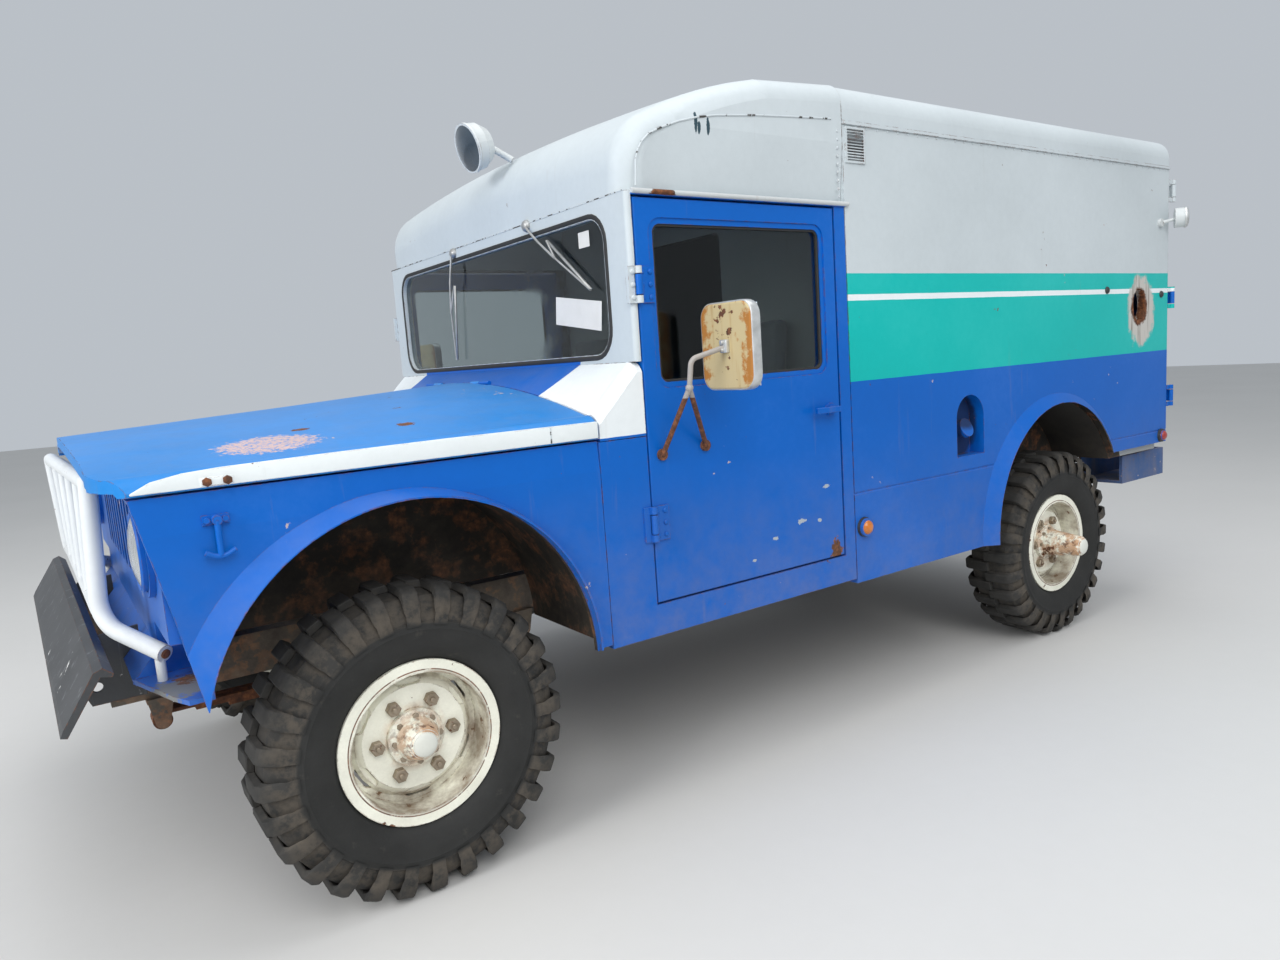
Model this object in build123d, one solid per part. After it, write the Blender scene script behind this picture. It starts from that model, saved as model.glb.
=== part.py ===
from build123d import *
from math import cos, degrees, radians, sin, sqrt, tan
import os

# A military ambulance truck in millimetres: +X is forward, +Y is the driver's left, +Z is up.
# Stations along X and heights are measured from the middle of the front axle. The finished truck
# is moved so that its origin is on the ground under the middle of its overall length.

# Overall sizes
WHEELBASE = 3200
FRONT_OVERHANG = 843
REAR_OVERHANG = 1092
TRACK = 1702
HALF_WIDTH = 1008
HUB_HALF_WIDTH = 1079.5
FRONT_AXLE_X = (WHEELBASE + REAR_OVERHANG - FRONT_OVERHANG) / 2
REAR_AXLE = -WHEELBASE

# Clearances
DOOR_GAP = 6
RUNNING_GAP = 6
PANEL_GAP = 2
PIN_GAP = 0.5
SEAT_GAP = 1

# Wheels and tyres
TYRE_RADIUS = 441
TYRE_WIDTH = 246
TREAD_WIDTH = 214
LUG_HEIGHT = 16
LUG_COUNT = 28
RIM_RADIUS = 234
BEAD_RADIUS = 206
RIM_WIDTH = 190
RIM_METAL = 9
DISC_METAL = 11
DISC_DISH = 62
NUT_CIRCLE = 222.25
NUT_COUNT = 6
NUT_RADIUS = 16
NUT_LENGTH = 20
HAND_HOLE_CIRCLE = 332
HAND_HOLE = (78, 34)
HUB_RADIUS = 82
FRONT_HUB_REACH = 22
DRUM_RADIUS = 176
DRUM_WIDTH = 78
SPINDLE_RADIUS = 34
KINGPIN_INSET = 151
WHEEL_Y = TRACK / 2
STEER_AXIS_Y = WHEEL_Y - KINGPIN_INSET
RIM_FACE_Y = WHEEL_Y + RIM_WIDTH / 2
DISC_Y = RIM_FACE_Y - DISC_DISH
SPINDLE_TIP_Y = DISC_Y - 20 - RUNNING_GAP

# Axles and steering
AXLE_TUBE = 44
REAR_AXLE_TUBE = 50
BALL_RADIUS = 92
KNUCKLE_INNER_Y = STEER_AXIS_Y - 90
YOKE_HEIGHT = 92
YOKE_METAL = 18
YOKE_EYE = 28
KINGPIN_RADIUS = 17
DIFF_Y = 170
DIFF_RADIUS = 165
ARM_LENGTH = 190
ARM_METAL = 22
ARM_PIN = 12
TIE_ROD_EYE = 34
ARM_TOP = -YOKE_HEIGHT - YOKE_METAL - RUNNING_GAP

# Frame and springs
RAIL_OUTER_Y = 432
RAIL_WIDTH = 62
RAIL_METAL = 6
RAIL_BOTTOM = 149
RAIL_DEPTH = 125
RAIL_TOP = RAIL_BOTTOM + RAIL_DEPTH
BUMPERETTE_REACH = 144
BODY_REAR_X = REAR_AXLE - REAR_OVERHANG + BUMPERETTE_REACH
RAIL_FRONT = FRONT_OVERHANG - 153
RAIL_REAR = BODY_REAR_X + 88
PINTLE_PLATE = 12
PINTLE_HOLES = (85.7, 44.5)
PINTLE_HOLE_RADIUS = 7
PINTLE_Z = RAIL_BOTTOM + RAIL_DEPTH / 2
TOW_EYE_RADIUS = 14
CROSSMEMBER_X = (600, -900, -1480, -2100, REAR_AXLE + 580, REAR_AXLE - 500, RAIL_REAR + 40)
CROSSMEMBER_DEPTH = 56
SPRING_Y = RAIL_OUTER_Y - RAIL_WIDTH / 2 + 1
SPRING_WIDTH = 64
LEAF_METAL = 10
SPRING_EYE = 26
SPRING_PIN = 9.5
HANGER_METAL = 12
# each spring: axle station, reach forward, reach back, leaves, radius of the axle tube
SPRINGS = ((0, 572, 590, 6, AXLE_TUBE), (REAR_AXLE, 660, 660, 7, REAR_AXLE_TUBE))

# Cab
SILL_Z = 132
CAB_FLOOR_Z = RAIL_TOP + 35
FLOOR_METAL = 30
HOOD_REAR_X = -604
FIREWALL_X = -640
SCREEN_X = -762
PILLAR_REAR_X = -781
DOOR_FRONT_X = PILLAR_REAR_X - DOOR_GAP
DOOR_REAR_X = -1652
CAB_REAR_X = -1714
HEADER_Z = 1513
DOOR_TOP_Z = HEADER_Z - 20
DOOR_BOTTOM_Z = 239
DOOR_METAL = 44
DOOR_EDGE = 5
WINDOW_FRONT_X = DOOR_FRONT_X - 69
WINDOW_REAR_X = DOOR_REAR_X + 72
WINDOW_BOTTOM_Z = 933
WINDOW_TOP_Z = DOOR_TOP_Z - 76
WINDOW_CORNER = 30
WINDOW_REBATE = (18, 5)
GLASS_METAL = 6
TUNNEL_HALF = 165
TUNNEL_TOP = CAB_FLOOR_Z + 125
TUNNEL_METAL = 20
SEAT_BOX_Z = CAB_FLOOR_Z + 160

# Hinges of the doors: radius of the pin, heights of the knuckles, width and thickness of a leaf
HINGE_RADIUS = 11
HINGE_HALF = 55
KNUCKLE_HALF = 30
KNUCKLE_GAP = 3
LEAF_WIDTH = 62
FIXED_LEAF = 34
LEAF_THICK = 6
DOOR_HINGE = (DOOR_FRONT_X + 3, HALF_WIDTH + 12)
DOOR_HINGE_Z = (DOOR_BOTTOM_Z + 256, WINDOW_TOP_Z - 184)

# Windscreen
COWL_EDGE_Z = 840
COWL_CREST_Z = 967
SCREEN_SILL_Z = 1003
SCREEN_HALF_WIDTH = HALF_WIDTH - 108
SCREEN_BOTTOM_Z = SCREEN_SILL_Z + 2
SCREEN_TOP_Z = HEADER_Z - 28
SCREEN_CORNER = 100
SCREEN_RUBBER = 28
SCREEN_FRAME_METAL = 40

# Roofs
ROOF_WALL = 32
DRIP_Z = HEADER_Z + 284
ROOF_TOP = DRIP_Z + 175
CROWN_RADIUS = 11500
CAB_FACE_TOP = HEADER_Z + 108
CAB_NOSE_RADIUS = 192
CAB_NOSE_TURN = 65
CAB_CREST = (-1350, ROOF_TOP - 23)
CAB_ROOF_CORNER = 78
REAR_ROOF_CORNER = 96
DRIP_RAIL = (7, 12)

# Rear body
BODY_BOTTOM_Z = 114
TAIL_BOTTOM_Z = 395
BODY_WALL = 36
BODY_CREASE_Z = 457
LOAD_FLOOR_Z = RAIL_TOP + 115
BULKHEAD_METAL = 30
BULKHEAD_DOOR_HALF = 310
BULKHEAD_DOOR_TOP = 1519
WHEEL_BOX_Y = WHEEL_Y - TYRE_WIDTH / 2 - 78
WHEEL_BOX_METAL = 30
REAR_FRAME_METAL = 40
REAR_OPENING_HALF = HALF_WIDTH - 108
REAR_OPENING_BOTTOM = LOAD_FLOOR_Z + 70
REAR_OPENING_TOP = DRIP_Z - 58
REAR_DOOR_METAL = 40
REAR_DOOR_BOTTOM = REAR_OPENING_BOTTOM - 20
REAR_DOOR_TOP = REAR_OPENING_TOP + 26
REAR_DOOR_EDGE = 22
REAR_WINDOW = (420, 400)
REAR_WINDOW_Z = 1199
REAR_HINGE = (BODY_REAR_X - DOOR_GAP - REAR_DOOR_METAL, HALF_WIDTH + 2)
REAR_HINGE_Z = (REAR_DOOR_BOTTOM + 195, (REAR_DOOR_BOTTOM + REAR_DOOR_TOP) / 2 + 41, REAR_DOOR_TOP - 84)
FILLER_X = REAR_AXLE + 760
FILLER_BOTTOM_Z = 519
FILLER_WIDTH = 186
FILLER_HEIGHT = 253
FILLER_DEPTH = 70
FILLER_METAL = 4
VENT_FRONT_X = CAB_REAR_X - 14
VENT_SIZE = (103, 125)
VENT_SLOTS = 12
VENT_PROUD = 5

# the torn hole in the left wall: distance behind the rear axle, height
TORN_HOLE = ((592, 1119), (600, 1164), (638, 1193), (680, 1185), (705, 1149),
             (708, 1089), (680, 1041), (635, 1033), (600, 1064))

# Front sheet metal. An arch is its middle's station, its height and its radius.
FRONT_ARCH = (-9, 145, 546)
REAR_ARCH = (REAR_AXLE + 75, 136, 545)
# where each flare leaves its panel: the shift ahead and up, and the growth in radius, from the arch's lip
FRONT_SEAM = (38, -18, 46)
REAR_SEAM = (30, 14, 38)
# how far each lip stands out at its front and at its rear
FRONT_FLARE = (40, 20)
REAR_FLARE = (40, 3)
FLARE_METAL = 6
FLARE_JOINT = 12
FENDER_METAL = 22
FENDER_RAKE = (60, 99)
FENDER_LOW_Z = 497
FENDER_TIP_Z = 271
CATCH = (453, 709)
CATCH_LENGTH = 82
FENDER_TOP_Z = 776
FENDER_REAR_X = HOOD_REAR_X
FENDER_CREASE = (90, 7)
LEDGE_WIDTH = 106
LEDGE_METAL = 16
INNER_FENDER_Y = 545
LINER_GAP = 26
LINER_METAL = 12
HOOD_METAL = 16
HOOD_CORNER_X = 625
HOOD_NOSE_X = 704
HOOD_LIP_HALF = HALF_WIDTH - 148
HOOD_LIP_Z = (799, 856)
# the hood's cross-sections: station, height of the side edge, height of the middle
HOOD_SECTIONS = ((HOOD_REAR_X, COWL_EDGE_Z, COWL_CREST_Z), (0, 827, 928), (HOOD_NOSE_X, 809, 889))
HOOD_SHOULDER = 60
HOOD_HINGE = (HOOD_REAR_X - 4, COWL_CREST_Z - 5)
HOOD_HINGE_RADIUS = 8
GRILLE_X = 556
GRILLE_METAL = 24
GRILLE_BOTTOM = 339
APRON_HALF = 705
APRON_METAL = 12
APRON_LOW_Z = 279
APRON_TOE = (573, 646)
APRON_NOTCH_Z = 429
SPLASH_X = 500
GRILLE_SLOTS = 11
GRILLE_PITCH = 96
GRILLE_SLOT = (60, 230)
GRILLE_SLOT_Z = 604
LAMP_Y = HALF_WIDTH - 208
LAMP_X = GRILLE_X + 48
LAMP_Z = 630
LAMP_RADIUS = 92
LAMP_GAP = 10
SPOTLIGHT = 88
BUMPER_HALF = 880
# how far the left end of the bumper and guard has been pushed back and down
BUMPER_PUSH = (30, 16)
GUARD_PUSH = 48
GUARD_HALF = 600
GUARD_TUBE = 22
GUARD_BAR = 16
GUARD_FOOT_Y = 780
GUARD_FOOT_Z = 361
GUARD_STUD = 12
GUARD_TOP_Z = 795
GUARD_BEND_Z = 429
GUARD_LOW_BAR_Z = 464
GUARD_BARS = (-360, -120, 120, 360)

# Mirrors
MIRROR_Y = HALF_WIDTH + 177
MIRROR_X = -988
MIRROR_Z = 1031
MIRROR_SIZE = (232, 262, 34)
MIRROR_APEX = (-850, HALF_WIDTH + 142, 915)
MIRROR_FEET = ((-835, 709), (-1010, 719))
MIRROR_ROD = 8

# Inside
COLUMN_TOP = (-960, 530, 849)
COLUMN_TILT = 40
COLUMN_LENGTH = 355
COLUMN_RADIUS = 22
STEERING_WHEEL_RADIUS = 205
SEAT_Y = 530
SEAT_WIDTH = 480
SEAT_REAR_X = -1590
SEAT_FRONT_X = -1130

# Running gear under the body
EXHAUST_PIPE = 25
SILENCER_RADIUS = 80
EXHAUST_Y = -(RAIL_OUTER_Y + 128)
EXHAUST_Z = 79
TAILPIPE_X = REAR_AXLE + 780
TANK_REAR_X = REAR_AXLE + 640
TANK_LENGTH = 720
TANK_CORNER = 40
PINION_Z = 20
TOW_EYE = (RAIL_FRONT + 26, RAIL_BOTTOM + 70)
COWL_FRONT_X = HOOD_REAR_X - 8
COWL_METAL = 24
# the cowl's cross-sections from the hood to the windscreen: station, height of the side edge, height of the middle
COWL_SECTIONS = ((COWL_FRONT_X, COWL_EDGE_Z, COWL_CREST_Z), (SCREEN_X, SCREEN_SILL_Z - 12, SCREEN_SILL_Z + 4),
                 (PILLAR_REAR_X, SCREEN_SILL_Z - 12, SCREEN_SILL_Z + 4))


def block(x0, x1, y0, y1, z0, z1):
    return Pos((x0 + x1) / 2, (y0 + y1) / 2, (z0 + z1) / 2) * Box(abs(x1 - x0), abs(y1 - y0), abs(z1 - z0))


def mirrored(shape):
    return shape.mirror(Plane.XZ)


def side_face(points, y):
    # a flat face at the given y from its outline in the XZ plane
    return make_face(Polyline(*[(x, y, z) for x, z in points], close=True).edges())


def side_plate(points, y0, y1):
    return extrude(side_face(points, y0), amount=y1 - y0, dir=(0, 1, 0))


def cross_pin(x, z, radius, y0, y1):
    return Pos(x, (y0 + y1) / 2, z) * Rot(90, 0, 0) * Cylinder(radius, abs(y1 - y0))


def long_pin(y, z, radius, x0, x1):
    return Pos((x0 + x1) / 2, y, z) * Rot(0, 90, 0) * Cylinder(radius, abs(x1 - x0))


def upright_pin(x, y, radius, z0, z1):
    return Pos(x, y, (z0 + z1) / 2) * Cylinder(radius, abs(z1 - z0))


def rounded_window(x0, x1, z0, z1, corner, y0, y1):
    plane = Plane(origin=((x0 + x1) / 2, y0, (z0 + z1) / 2), x_dir=(1, 0, 0), z_dir=(0, 1, 0))
    return extrude(plane * RectangleRounded(abs(x1 - x0), abs(z1 - z0), corner), amount=y1 - y0)


def cross_window(y_middle, width, z0, z1, corner, x0, x1):
    plane = Plane(origin=(x0, y_middle, (z0 + z1) / 2), x_dir=(0, 1, 0), z_dir=(1, 0, 0))
    return extrude(plane * RectangleRounded(width, abs(z1 - z0), corner), amount=x1 - x0)


def bent_tube(points, radius, bend):
    path = FilletPolyline(*points, radius=bend)
    start = Plane(origin=path @ 0, z_dir=path % 0)
    return sweep(start * Circle(radius), path=path)


def shaft_between(start, end, radius):
    a = Vector(*start)
    b = Vector(*end)
    return extrude(Plane(origin=a, z_dir=b - a) * Circle(radius), amount=(b - a).length)


def turned(profile):
    # a closed outline of (distance outwards, radius) turned about a wheel's axis
    face = make_face(Polyline(*[(0, out, radius) for out, radius in profile], close=True).edges())
    return revolve(face, Axis((0, 0, 0), (0, 1, 0)), 360)


# Wheels
def tyre():
    # a carcass with two flats for each lug, and lugs that fill every other flat from the middle down over the shoulder
    half = TYRE_WIDTH / 2
    tread = TREAD_WIDTH / 2
    base = TYRE_RADIUS - LUG_HEIGHT
    bulge = (base + BEAD_RADIUS) / 2 + 20
    bead = RIM_WIDTH / 2 - RIM_METAL - SEAT_GAP
    flats = 2 * LUG_COUNT
    pitch = 360 / flats

    def ring(out, radius):
        plane = Plane(origin=(0, out, 0), x_dir=(1, 0, 0), z_dir=(0, 1, 0))
        return plane * RegularPolygon(radius, flats, major_radius=False)

    crown = tread - LUG_HEIGHT / 2
    sections = [(-bead, RIM_RADIUS), (-half, bulge), (-crown, base), (crown, base), (half, bulge),
                (bead, RIM_RADIUS)]
    carcass = loft([ring(out, radius) for out, radius in sections], ruled=True)
    carcass -= cross_pin(0, 0, BEAD_RADIUS + SEAT_GAP, -half, half)
    outline = [(4, base - LUG_HEIGHT), (4, TYRE_RADIUS), (tread - 4, TYRE_RADIUS), (half, bulge),
               (crown - 8, bulge)]
    face = make_face(Polyline(*[(0, out, radius) for out, radius in outline], close=True).edges())
    spread = tan(radians(pitch / 2)) * 2 * TYRE_RADIUS
    wedge = side_plate([(0, 0), (spread, 2 * TYRE_RADIUS), (-spread, 2 * TYRE_RADIUS)], 0, half)
    lug = extrude(face, amount=2 * LUG_HEIGHT, dir=(1, 0, 0), both=True) & wedge
    lugs = []
    for number in range(flats):
        placed = lug if number % 2 else mirrored(lug)
        lugs.append(Rot(0, (number + 0.5) * pitch, 0) * placed)
    return carcass + lugs


def rim(hub_reach):
    # the split rim, its dished disc with hand holes, the hub, nuts and brake drum, for the left side
    half = RIM_WIDTH / 2
    well = BEAD_RADIUS - RIM_METAL
    barrel = turned(
        [(-half, RIM_RADIUS), (-half + RIM_METAL, RIM_RADIUS), (-half + RIM_METAL, BEAD_RADIUS),
         (half - RIM_METAL, BEAD_RADIUS), (half - RIM_METAL, RIM_RADIUS), (half, RIM_RADIUS),
         (half, well), (-half, well)])
    face = half - DISC_DISH
    disc = turned(
        [(face, 0), (face, 150), (face - 26, 178), (face - 30, well + 2), (face - 30 - DISC_METAL, well + 2),
         (face - 26 - DISC_METAL, 174), (face - DISC_METAL, 146), (face - DISC_METAL, 0)])
    for number in range(NUT_COUNT):
        angle = number * 360 / NUT_COUNT
        hole = Pos(0, face - 20, HAND_HOLE_CIRCLE / 2) * Rot(90, 0, 0) * extrude(SlotOverall(*HAND_HOLE),
                                                                                 amount=60, both=True)
        disc -= Rot(0, angle, 0) * hole
        nut = Pos(0, face + NUT_LENGTH / 2 - 1, NUT_CIRCLE / 2) * Rot(90, 0, 0) * Cylinder(NUT_RADIUS,
                                                                                           NUT_LENGTH)
        disc += Rot(0, angle + 180 / NUT_COUNT, 0) * nut
    hub = turned(
        [(face - 90, 0), (face - 90, HUB_RADIUS), (face + 14, HUB_RADIUS), (face + 26, HUB_RADIUS - 18),
         (half + hub_reach - 14, 46), (half + hub_reach, 34), (half + hub_reach, 0)])
    drum_face = face - DISC_METAL - 3
    drum = turned(
        [(drum_face, 60), (drum_face, DRUM_RADIUS - 10), (drum_face - 10, DRUM_RADIUS),
         (drum_face - DRUM_WIDTH, DRUM_RADIUS), (drum_face - DRUM_WIDTH, 60)])
    bore_radius = SPINDLE_RADIUS + PIN_GAP
    bore = turned([(face - 200, 0), (face - 200, bore_radius), (face - 20, bore_radius), (face - 20, 0)])
    return barrel + disc + hub + drum - bore


def at_wheel(shape, x, side):
    placed = shape if side > 0 else mirrored(shape)
    return Pos(x, side * WHEEL_Y, 0) * placed


# Axles, knuckles and springs
def axle_housing(x, radius, nose_radius, nose_length):
    # the round differential housing with its flat sides and the nose that takes the propeller shaft
    ball = Pos(x, DIFF_Y, 0) * Sphere(radius)
    ball &= block(x - radius, x + radius, DIFF_Y - 112, DIFF_Y + 112, -radius, radius)
    end = x - nose_length if x == 0 else x + nose_length
    return ball + long_pin(DIFF_Y, PINION_Z, nose_radius, min(x, end), max(x, end))




def front_axle():
    axle = cross_pin(0, 0, AXLE_TUBE, -KNUCKLE_INNER_Y, KNUCKLE_INNER_Y)
    axle += axle_housing(0, DIFF_RADIUS, 55, 260)
    fork_height = YOKE_HEIGHT + YOKE_METAL
    for side in (1, -1):
        ball = Pos(0, side * KNUCKLE_INNER_Y, 0) * Sphere(BALL_RADIUS)
        axle += ball & block(-200, 200, side * (KNUCKLE_INNER_Y - 60), side * KNUCKLE_INNER_Y, -200, 200)
        axle += block(-30, 30, side * (KNUCKLE_INNER_Y - 20), side * (STEER_AXIS_Y - 46), -60, 60)
        fork = block(-YOKE_EYE, YOKE_EYE, side * (STEER_AXIS_Y - 70), side * STEER_AXIS_Y, -fork_height,
                     fork_height)
        fork += upright_pin(0, side * STEER_AXIS_Y, YOKE_EYE, -fork_height, fork_height)
        fork -= block(-60, 60, side * (STEER_AXIS_Y - 46), side * (STEER_AXIS_Y + 60), -YOKE_HEIGHT,
                      YOKE_HEIGHT)
        fork -= upright_pin(0, side * STEER_AXIS_Y, KINGPIN_RADIUS + PIN_GAP, -fork_height - 1,
                            fork_height + 1)
        axle += fork
    return axle


def knuckle():
    # the left knuckle: a body between the yoke's arms, kingpin, spindle, backing plate and steering arm
    body = upright_pin(0, STEER_AXIS_Y, 38, -YOKE_HEIGHT + RUNNING_GAP, YOKE_HEIGHT - RUNNING_GAP)
    pin = upright_pin(0, STEER_AXIS_Y, KINGPIN_RADIUS, ARM_TOP - ARM_METAL, YOKE_HEIGHT + 26)
    spindle = cross_pin(0, 0, SPINDLE_RADIUS, STEER_AXIS_Y, SPINDLE_TIP_Y)
    plate = cross_pin(0, 0, DRUM_RADIUS - 6, STEER_AXIS_Y + 34, STEER_AXIS_Y + 44)
    arm = block(-ARM_LENGTH, 0, STEER_AXIS_Y - 20, STEER_AXIS_Y + 20, ARM_TOP - ARM_METAL, ARM_TOP)
    arm += upright_pin(-ARM_LENGTH, STEER_AXIS_Y, 24, ARM_TOP - ARM_METAL, ARM_TOP)
    arm += upright_pin(0, STEER_AXIS_Y, 26, ARM_TOP - ARM_METAL, ARM_TOP)
    ball_pin = upright_pin(-ARM_LENGTH, STEER_AXIS_Y, ARM_PIN, ARM_TOP - ARM_METAL - TIE_ROD_EYE - 12,
                           ARM_TOP)
    return body + pin + spindle + plate + arm + ball_pin


def tie_rod():
    z = ARM_TOP - ARM_METAL - RUNNING_GAP / 2 - TIE_ROD_EYE / 2
    rod = cross_pin(-ARM_LENGTH, z, 15, -STEER_AXIS_Y + 20, STEER_AXIS_Y - 20)
    for side in (1, -1):
        rod += upright_pin(-ARM_LENGTH, side * STEER_AXIS_Y, 26, z - TIE_ROD_EYE / 2, z + TIE_ROD_EYE / 2)
        rod -= upright_pin(-ARM_LENGTH, side * STEER_AXIS_Y, ARM_PIN + PIN_GAP, z - 60, z + 60)
    return rod


def rear_axle():
    plate_y = DISC_Y - DISC_METAL - 3 - DRUM_WIDTH - RUNNING_GAP
    tube = cross_pin(REAR_AXLE, 0, REAR_AXLE_TUBE, -plate_y, plate_y)
    spindles = cross_pin(REAR_AXLE, 0, SPINDLE_RADIUS, -SPINDLE_TIP_Y, SPINDLE_TIP_Y)
    plates = [cross_pin(REAR_AXLE, 0, DRUM_RADIUS - 6, side * (plate_y - 10), side * plate_y)
              for side in (1, -1)]
    return tube + spindles + axle_housing(REAR_AXLE, DIFF_RADIUS + 10, 60, 280) + plates


def spring_eye_z(leaves, tube_radius):
    return tube_radius + leaves * LEAF_METAL - SPRING_EYE


def leaf_spring(axle_x, reach_front, reach_back, leaves, tube_radius):
    # a stack on the axle tube, the longest leaf on top with an eye rolled down at each end, and two U-bolts
    top = tube_radius + leaves * LEAF_METAL
    y0 = SPRING_Y - SPRING_WIDTH / 2
    y1 = SPRING_Y + SPRING_WIDTH / 2
    stack = None
    for number in range(leaves):
        share = (number + 1.5) / (leaves + 0.5)
        z0 = tube_radius + number * LEAF_METAL
        leaf = block(axle_x - reach_back * share, axle_x + reach_front * share, y0, y1, z0, z0 + LEAF_METAL)
        stack = leaf if stack is None else stack + leaf
    eye_z = spring_eye_z(leaves, tube_radius)
    for x in (axle_x + reach_front, axle_x - reach_back):
        stack += cross_pin(x, eye_z, SPRING_EYE, y0, y1)
        stack -= cross_pin(x, eye_z, SPRING_PIN + PIN_GAP, y0 - 1, y1 + 1)
    for shift in (-58, 58):
        stack += block(axle_x + shift - 8, axle_x + shift + 8, y0 - 10, y1 + 10, tube_radius, top + 10)
    return stack


def frame_rails():
    # two channels open inwards, each with its spring hangers
    channel = block(RAIL_REAR, RAIL_FRONT, RAIL_OUTER_Y - RAIL_WIDTH, RAIL_OUTER_Y, RAIL_BOTTOM, RAIL_TOP)
    channel -= block(RAIL_REAR - 1, RAIL_FRONT + 1, RAIL_OUTER_Y - RAIL_WIDTH - 1, RAIL_OUTER_Y - RAIL_METAL,
                     RAIL_BOTTOM + RAIL_METAL, RAIL_TOP - RAIL_METAL)
    rail = channel
    reach = SPRING_WIDTH / 2 + PANEL_GAP
    for axle_x, reach_front, reach_back, leaves, tube_radius in SPRINGS:
        eye_z = spring_eye_z(leaves, tube_radius)
        for x in (axle_x + reach_front, axle_x - reach_back):
            for y in (SPRING_Y - reach - HANGER_METAL, SPRING_Y + reach):
                cheek = upright_plate(x, y, eye_z)
                rail += cheek
            rail += cross_pin(x, eye_z, SPRING_PIN, SPRING_Y - reach - HANGER_METAL,
                              SPRING_Y + reach + HANGER_METAL)
            rail += block(x - 34, x + 34, SPRING_Y - reach - HANGER_METAL, SPRING_Y + reach + HANGER_METAL,
                          RAIL_BOTTOM - 12, RAIL_BOTTOM)
    return [rail, mirrored(rail)]


def upright_plate(x, y, eye_z):
    # one cheek of a spring hanger, round about the spring's pin
    cheek = side_plate([(x - 34, RAIL_BOTTOM), (x + 34, RAIL_BOTTOM), (x + 20, eye_z), (x - 20, eye_z)], y,
                       y + HANGER_METAL)
    return cheek + cross_pin(x, eye_z, 20, y, y + HANGER_METAL)


def crossmembers():
    # channels between the rails, and the rear one's plate with the pintle's holes
    y = RAIL_OUTER_Y - RAIL_METAL - SEAT_GAP
    z0 = RAIL_BOTTOM + RAIL_METAL + SEAT_GAP
    pieces = []
    for x in CROSSMEMBER_X:
        pieces.append(block(x - 40, x + 40, -y, y, z0, z0 + CROSSMEMBER_DEPTH))
    plate = block(RAIL_REAR - PINTLE_PLATE, RAIL_REAR, -RAIL_OUTER_Y, RAIL_OUTER_Y, RAIL_BOTTOM, RAIL_TOP)
    plate = fillet(plate.edges().filter_by(Axis.X), 14)
    for y in (-PINTLE_HOLES[0] / 2, PINTLE_HOLES[0] / 2):
        for z in (PINTLE_Z - PINTLE_HOLES[1] / 2, PINTLE_Z + PINTLE_HOLES[1] / 2):
            plate -= long_pin(y, z, PINTLE_HOLE_RADIUS, RAIL_REAR - PINTLE_PLATE - 1, RAIL_REAR + 1)
    return pieces + [plate]


# Running gear under the body
def engine():
    return block(-560, 250, -260, 260, 199, 709)


def driveline():
    # the bell housing, gearbox and transfer case in one, and the two propeller shafts
    middle = 309
    bell = Pos(-632, 0, middle) * Rot(0, -90, 0) * Cone(128, 104, 140)
    gearbox = fillet(block(-1130, -700, -105, 105, 219, 409).edges().filter_by(Axis.X), 24)
    transfer = block(-1420, -1129, DIFF_Y - 230, DIFF_Y + 90, 29, 265)
    transfer = fillet(transfer.edges().filter_by(Axis.Y), 30)
    output_z = 104
    rear = shaft_between((-1424, DIFF_Y, output_z), (REAR_AXLE + 286, DIFF_Y, PINION_Z), 34)
    front = shaft_between((-1124, DIFF_Y, output_z), (-266, DIFF_Y, PINION_Z), 28)
    return [bell + gearbox + transfer, rear, front]


def exhaust():
    start = (-380, -286)
    pipe = bent_tube(
        [(*start, 339), (*start, 84), (-760, -300, EXHAUST_Z), (-1000, EXHAUST_Y, EXHAUST_Z),
         (TAILPIPE_X + 140, EXHAUST_Y, EXHAUST_Z), (TAILPIPE_X, EXHAUST_Y - 140, EXHAUST_Z),
         (TAILPIPE_X, -HALF_WIDTH + 8, EXHAUST_Z)], EXHAUST_PIPE, 60)
    return pipe + long_pin(EXHAUST_Y, EXHAUST_Z + 10, SILENCER_RADIUS, -1760, -1180)


def fuel_tank():
    tank = block(TANK_REAR_X, TANK_REAR_X + TANK_LENGTH, RAIL_OUTER_Y + 38, HALF_WIDTH - 108, 139, 349)
    return fillet(tank.edges().filter_by(Axis.X), TANK_CORNER)


# Front end
def front_bumper():
    # a pressed channel leaning back, its left end pushed back and down by an old knock
    profile = ((-101, 401), (-81, 393), (-7, 275), (0, 259), (-14, 255), (-95, 381),
               (-118, 375), (-122, 383))
    sound = side_face([(FRONT_OVERHANG + x, z) for x, z in profile], -BUMPER_HALF)
    pushed = side_face([(FRONT_OVERHANG + x - BUMPER_PUSH[0], z - BUMPER_PUSH[1]) for x, z in profile],
                       BUMPER_HALF)
    bar = loft([sound, pushed], ruled=True)
    bracket = [(RAIL_FRONT - 90, 169), (RAIL_FRONT + 44, 169), (RAIL_FRONT + 60, 209), (RAIL_FRONT + 60, 279),
               (RAIL_FRONT + 16, 361), (RAIL_FRONT - 90, 371)]
    for side in (1, -1):
        plate = side_plate(bracket, side * RAIL_OUTER_Y, side * (RAIL_OUTER_Y + 12))
        plate -= cross_pin(TOW_EYE[0], TOW_EYE[1], TOW_EYE_RADIUS, side * (RAIL_OUTER_Y - 1),
                           side * (RAIL_OUTER_Y + 13))
        bar += plate
    return bar




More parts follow.
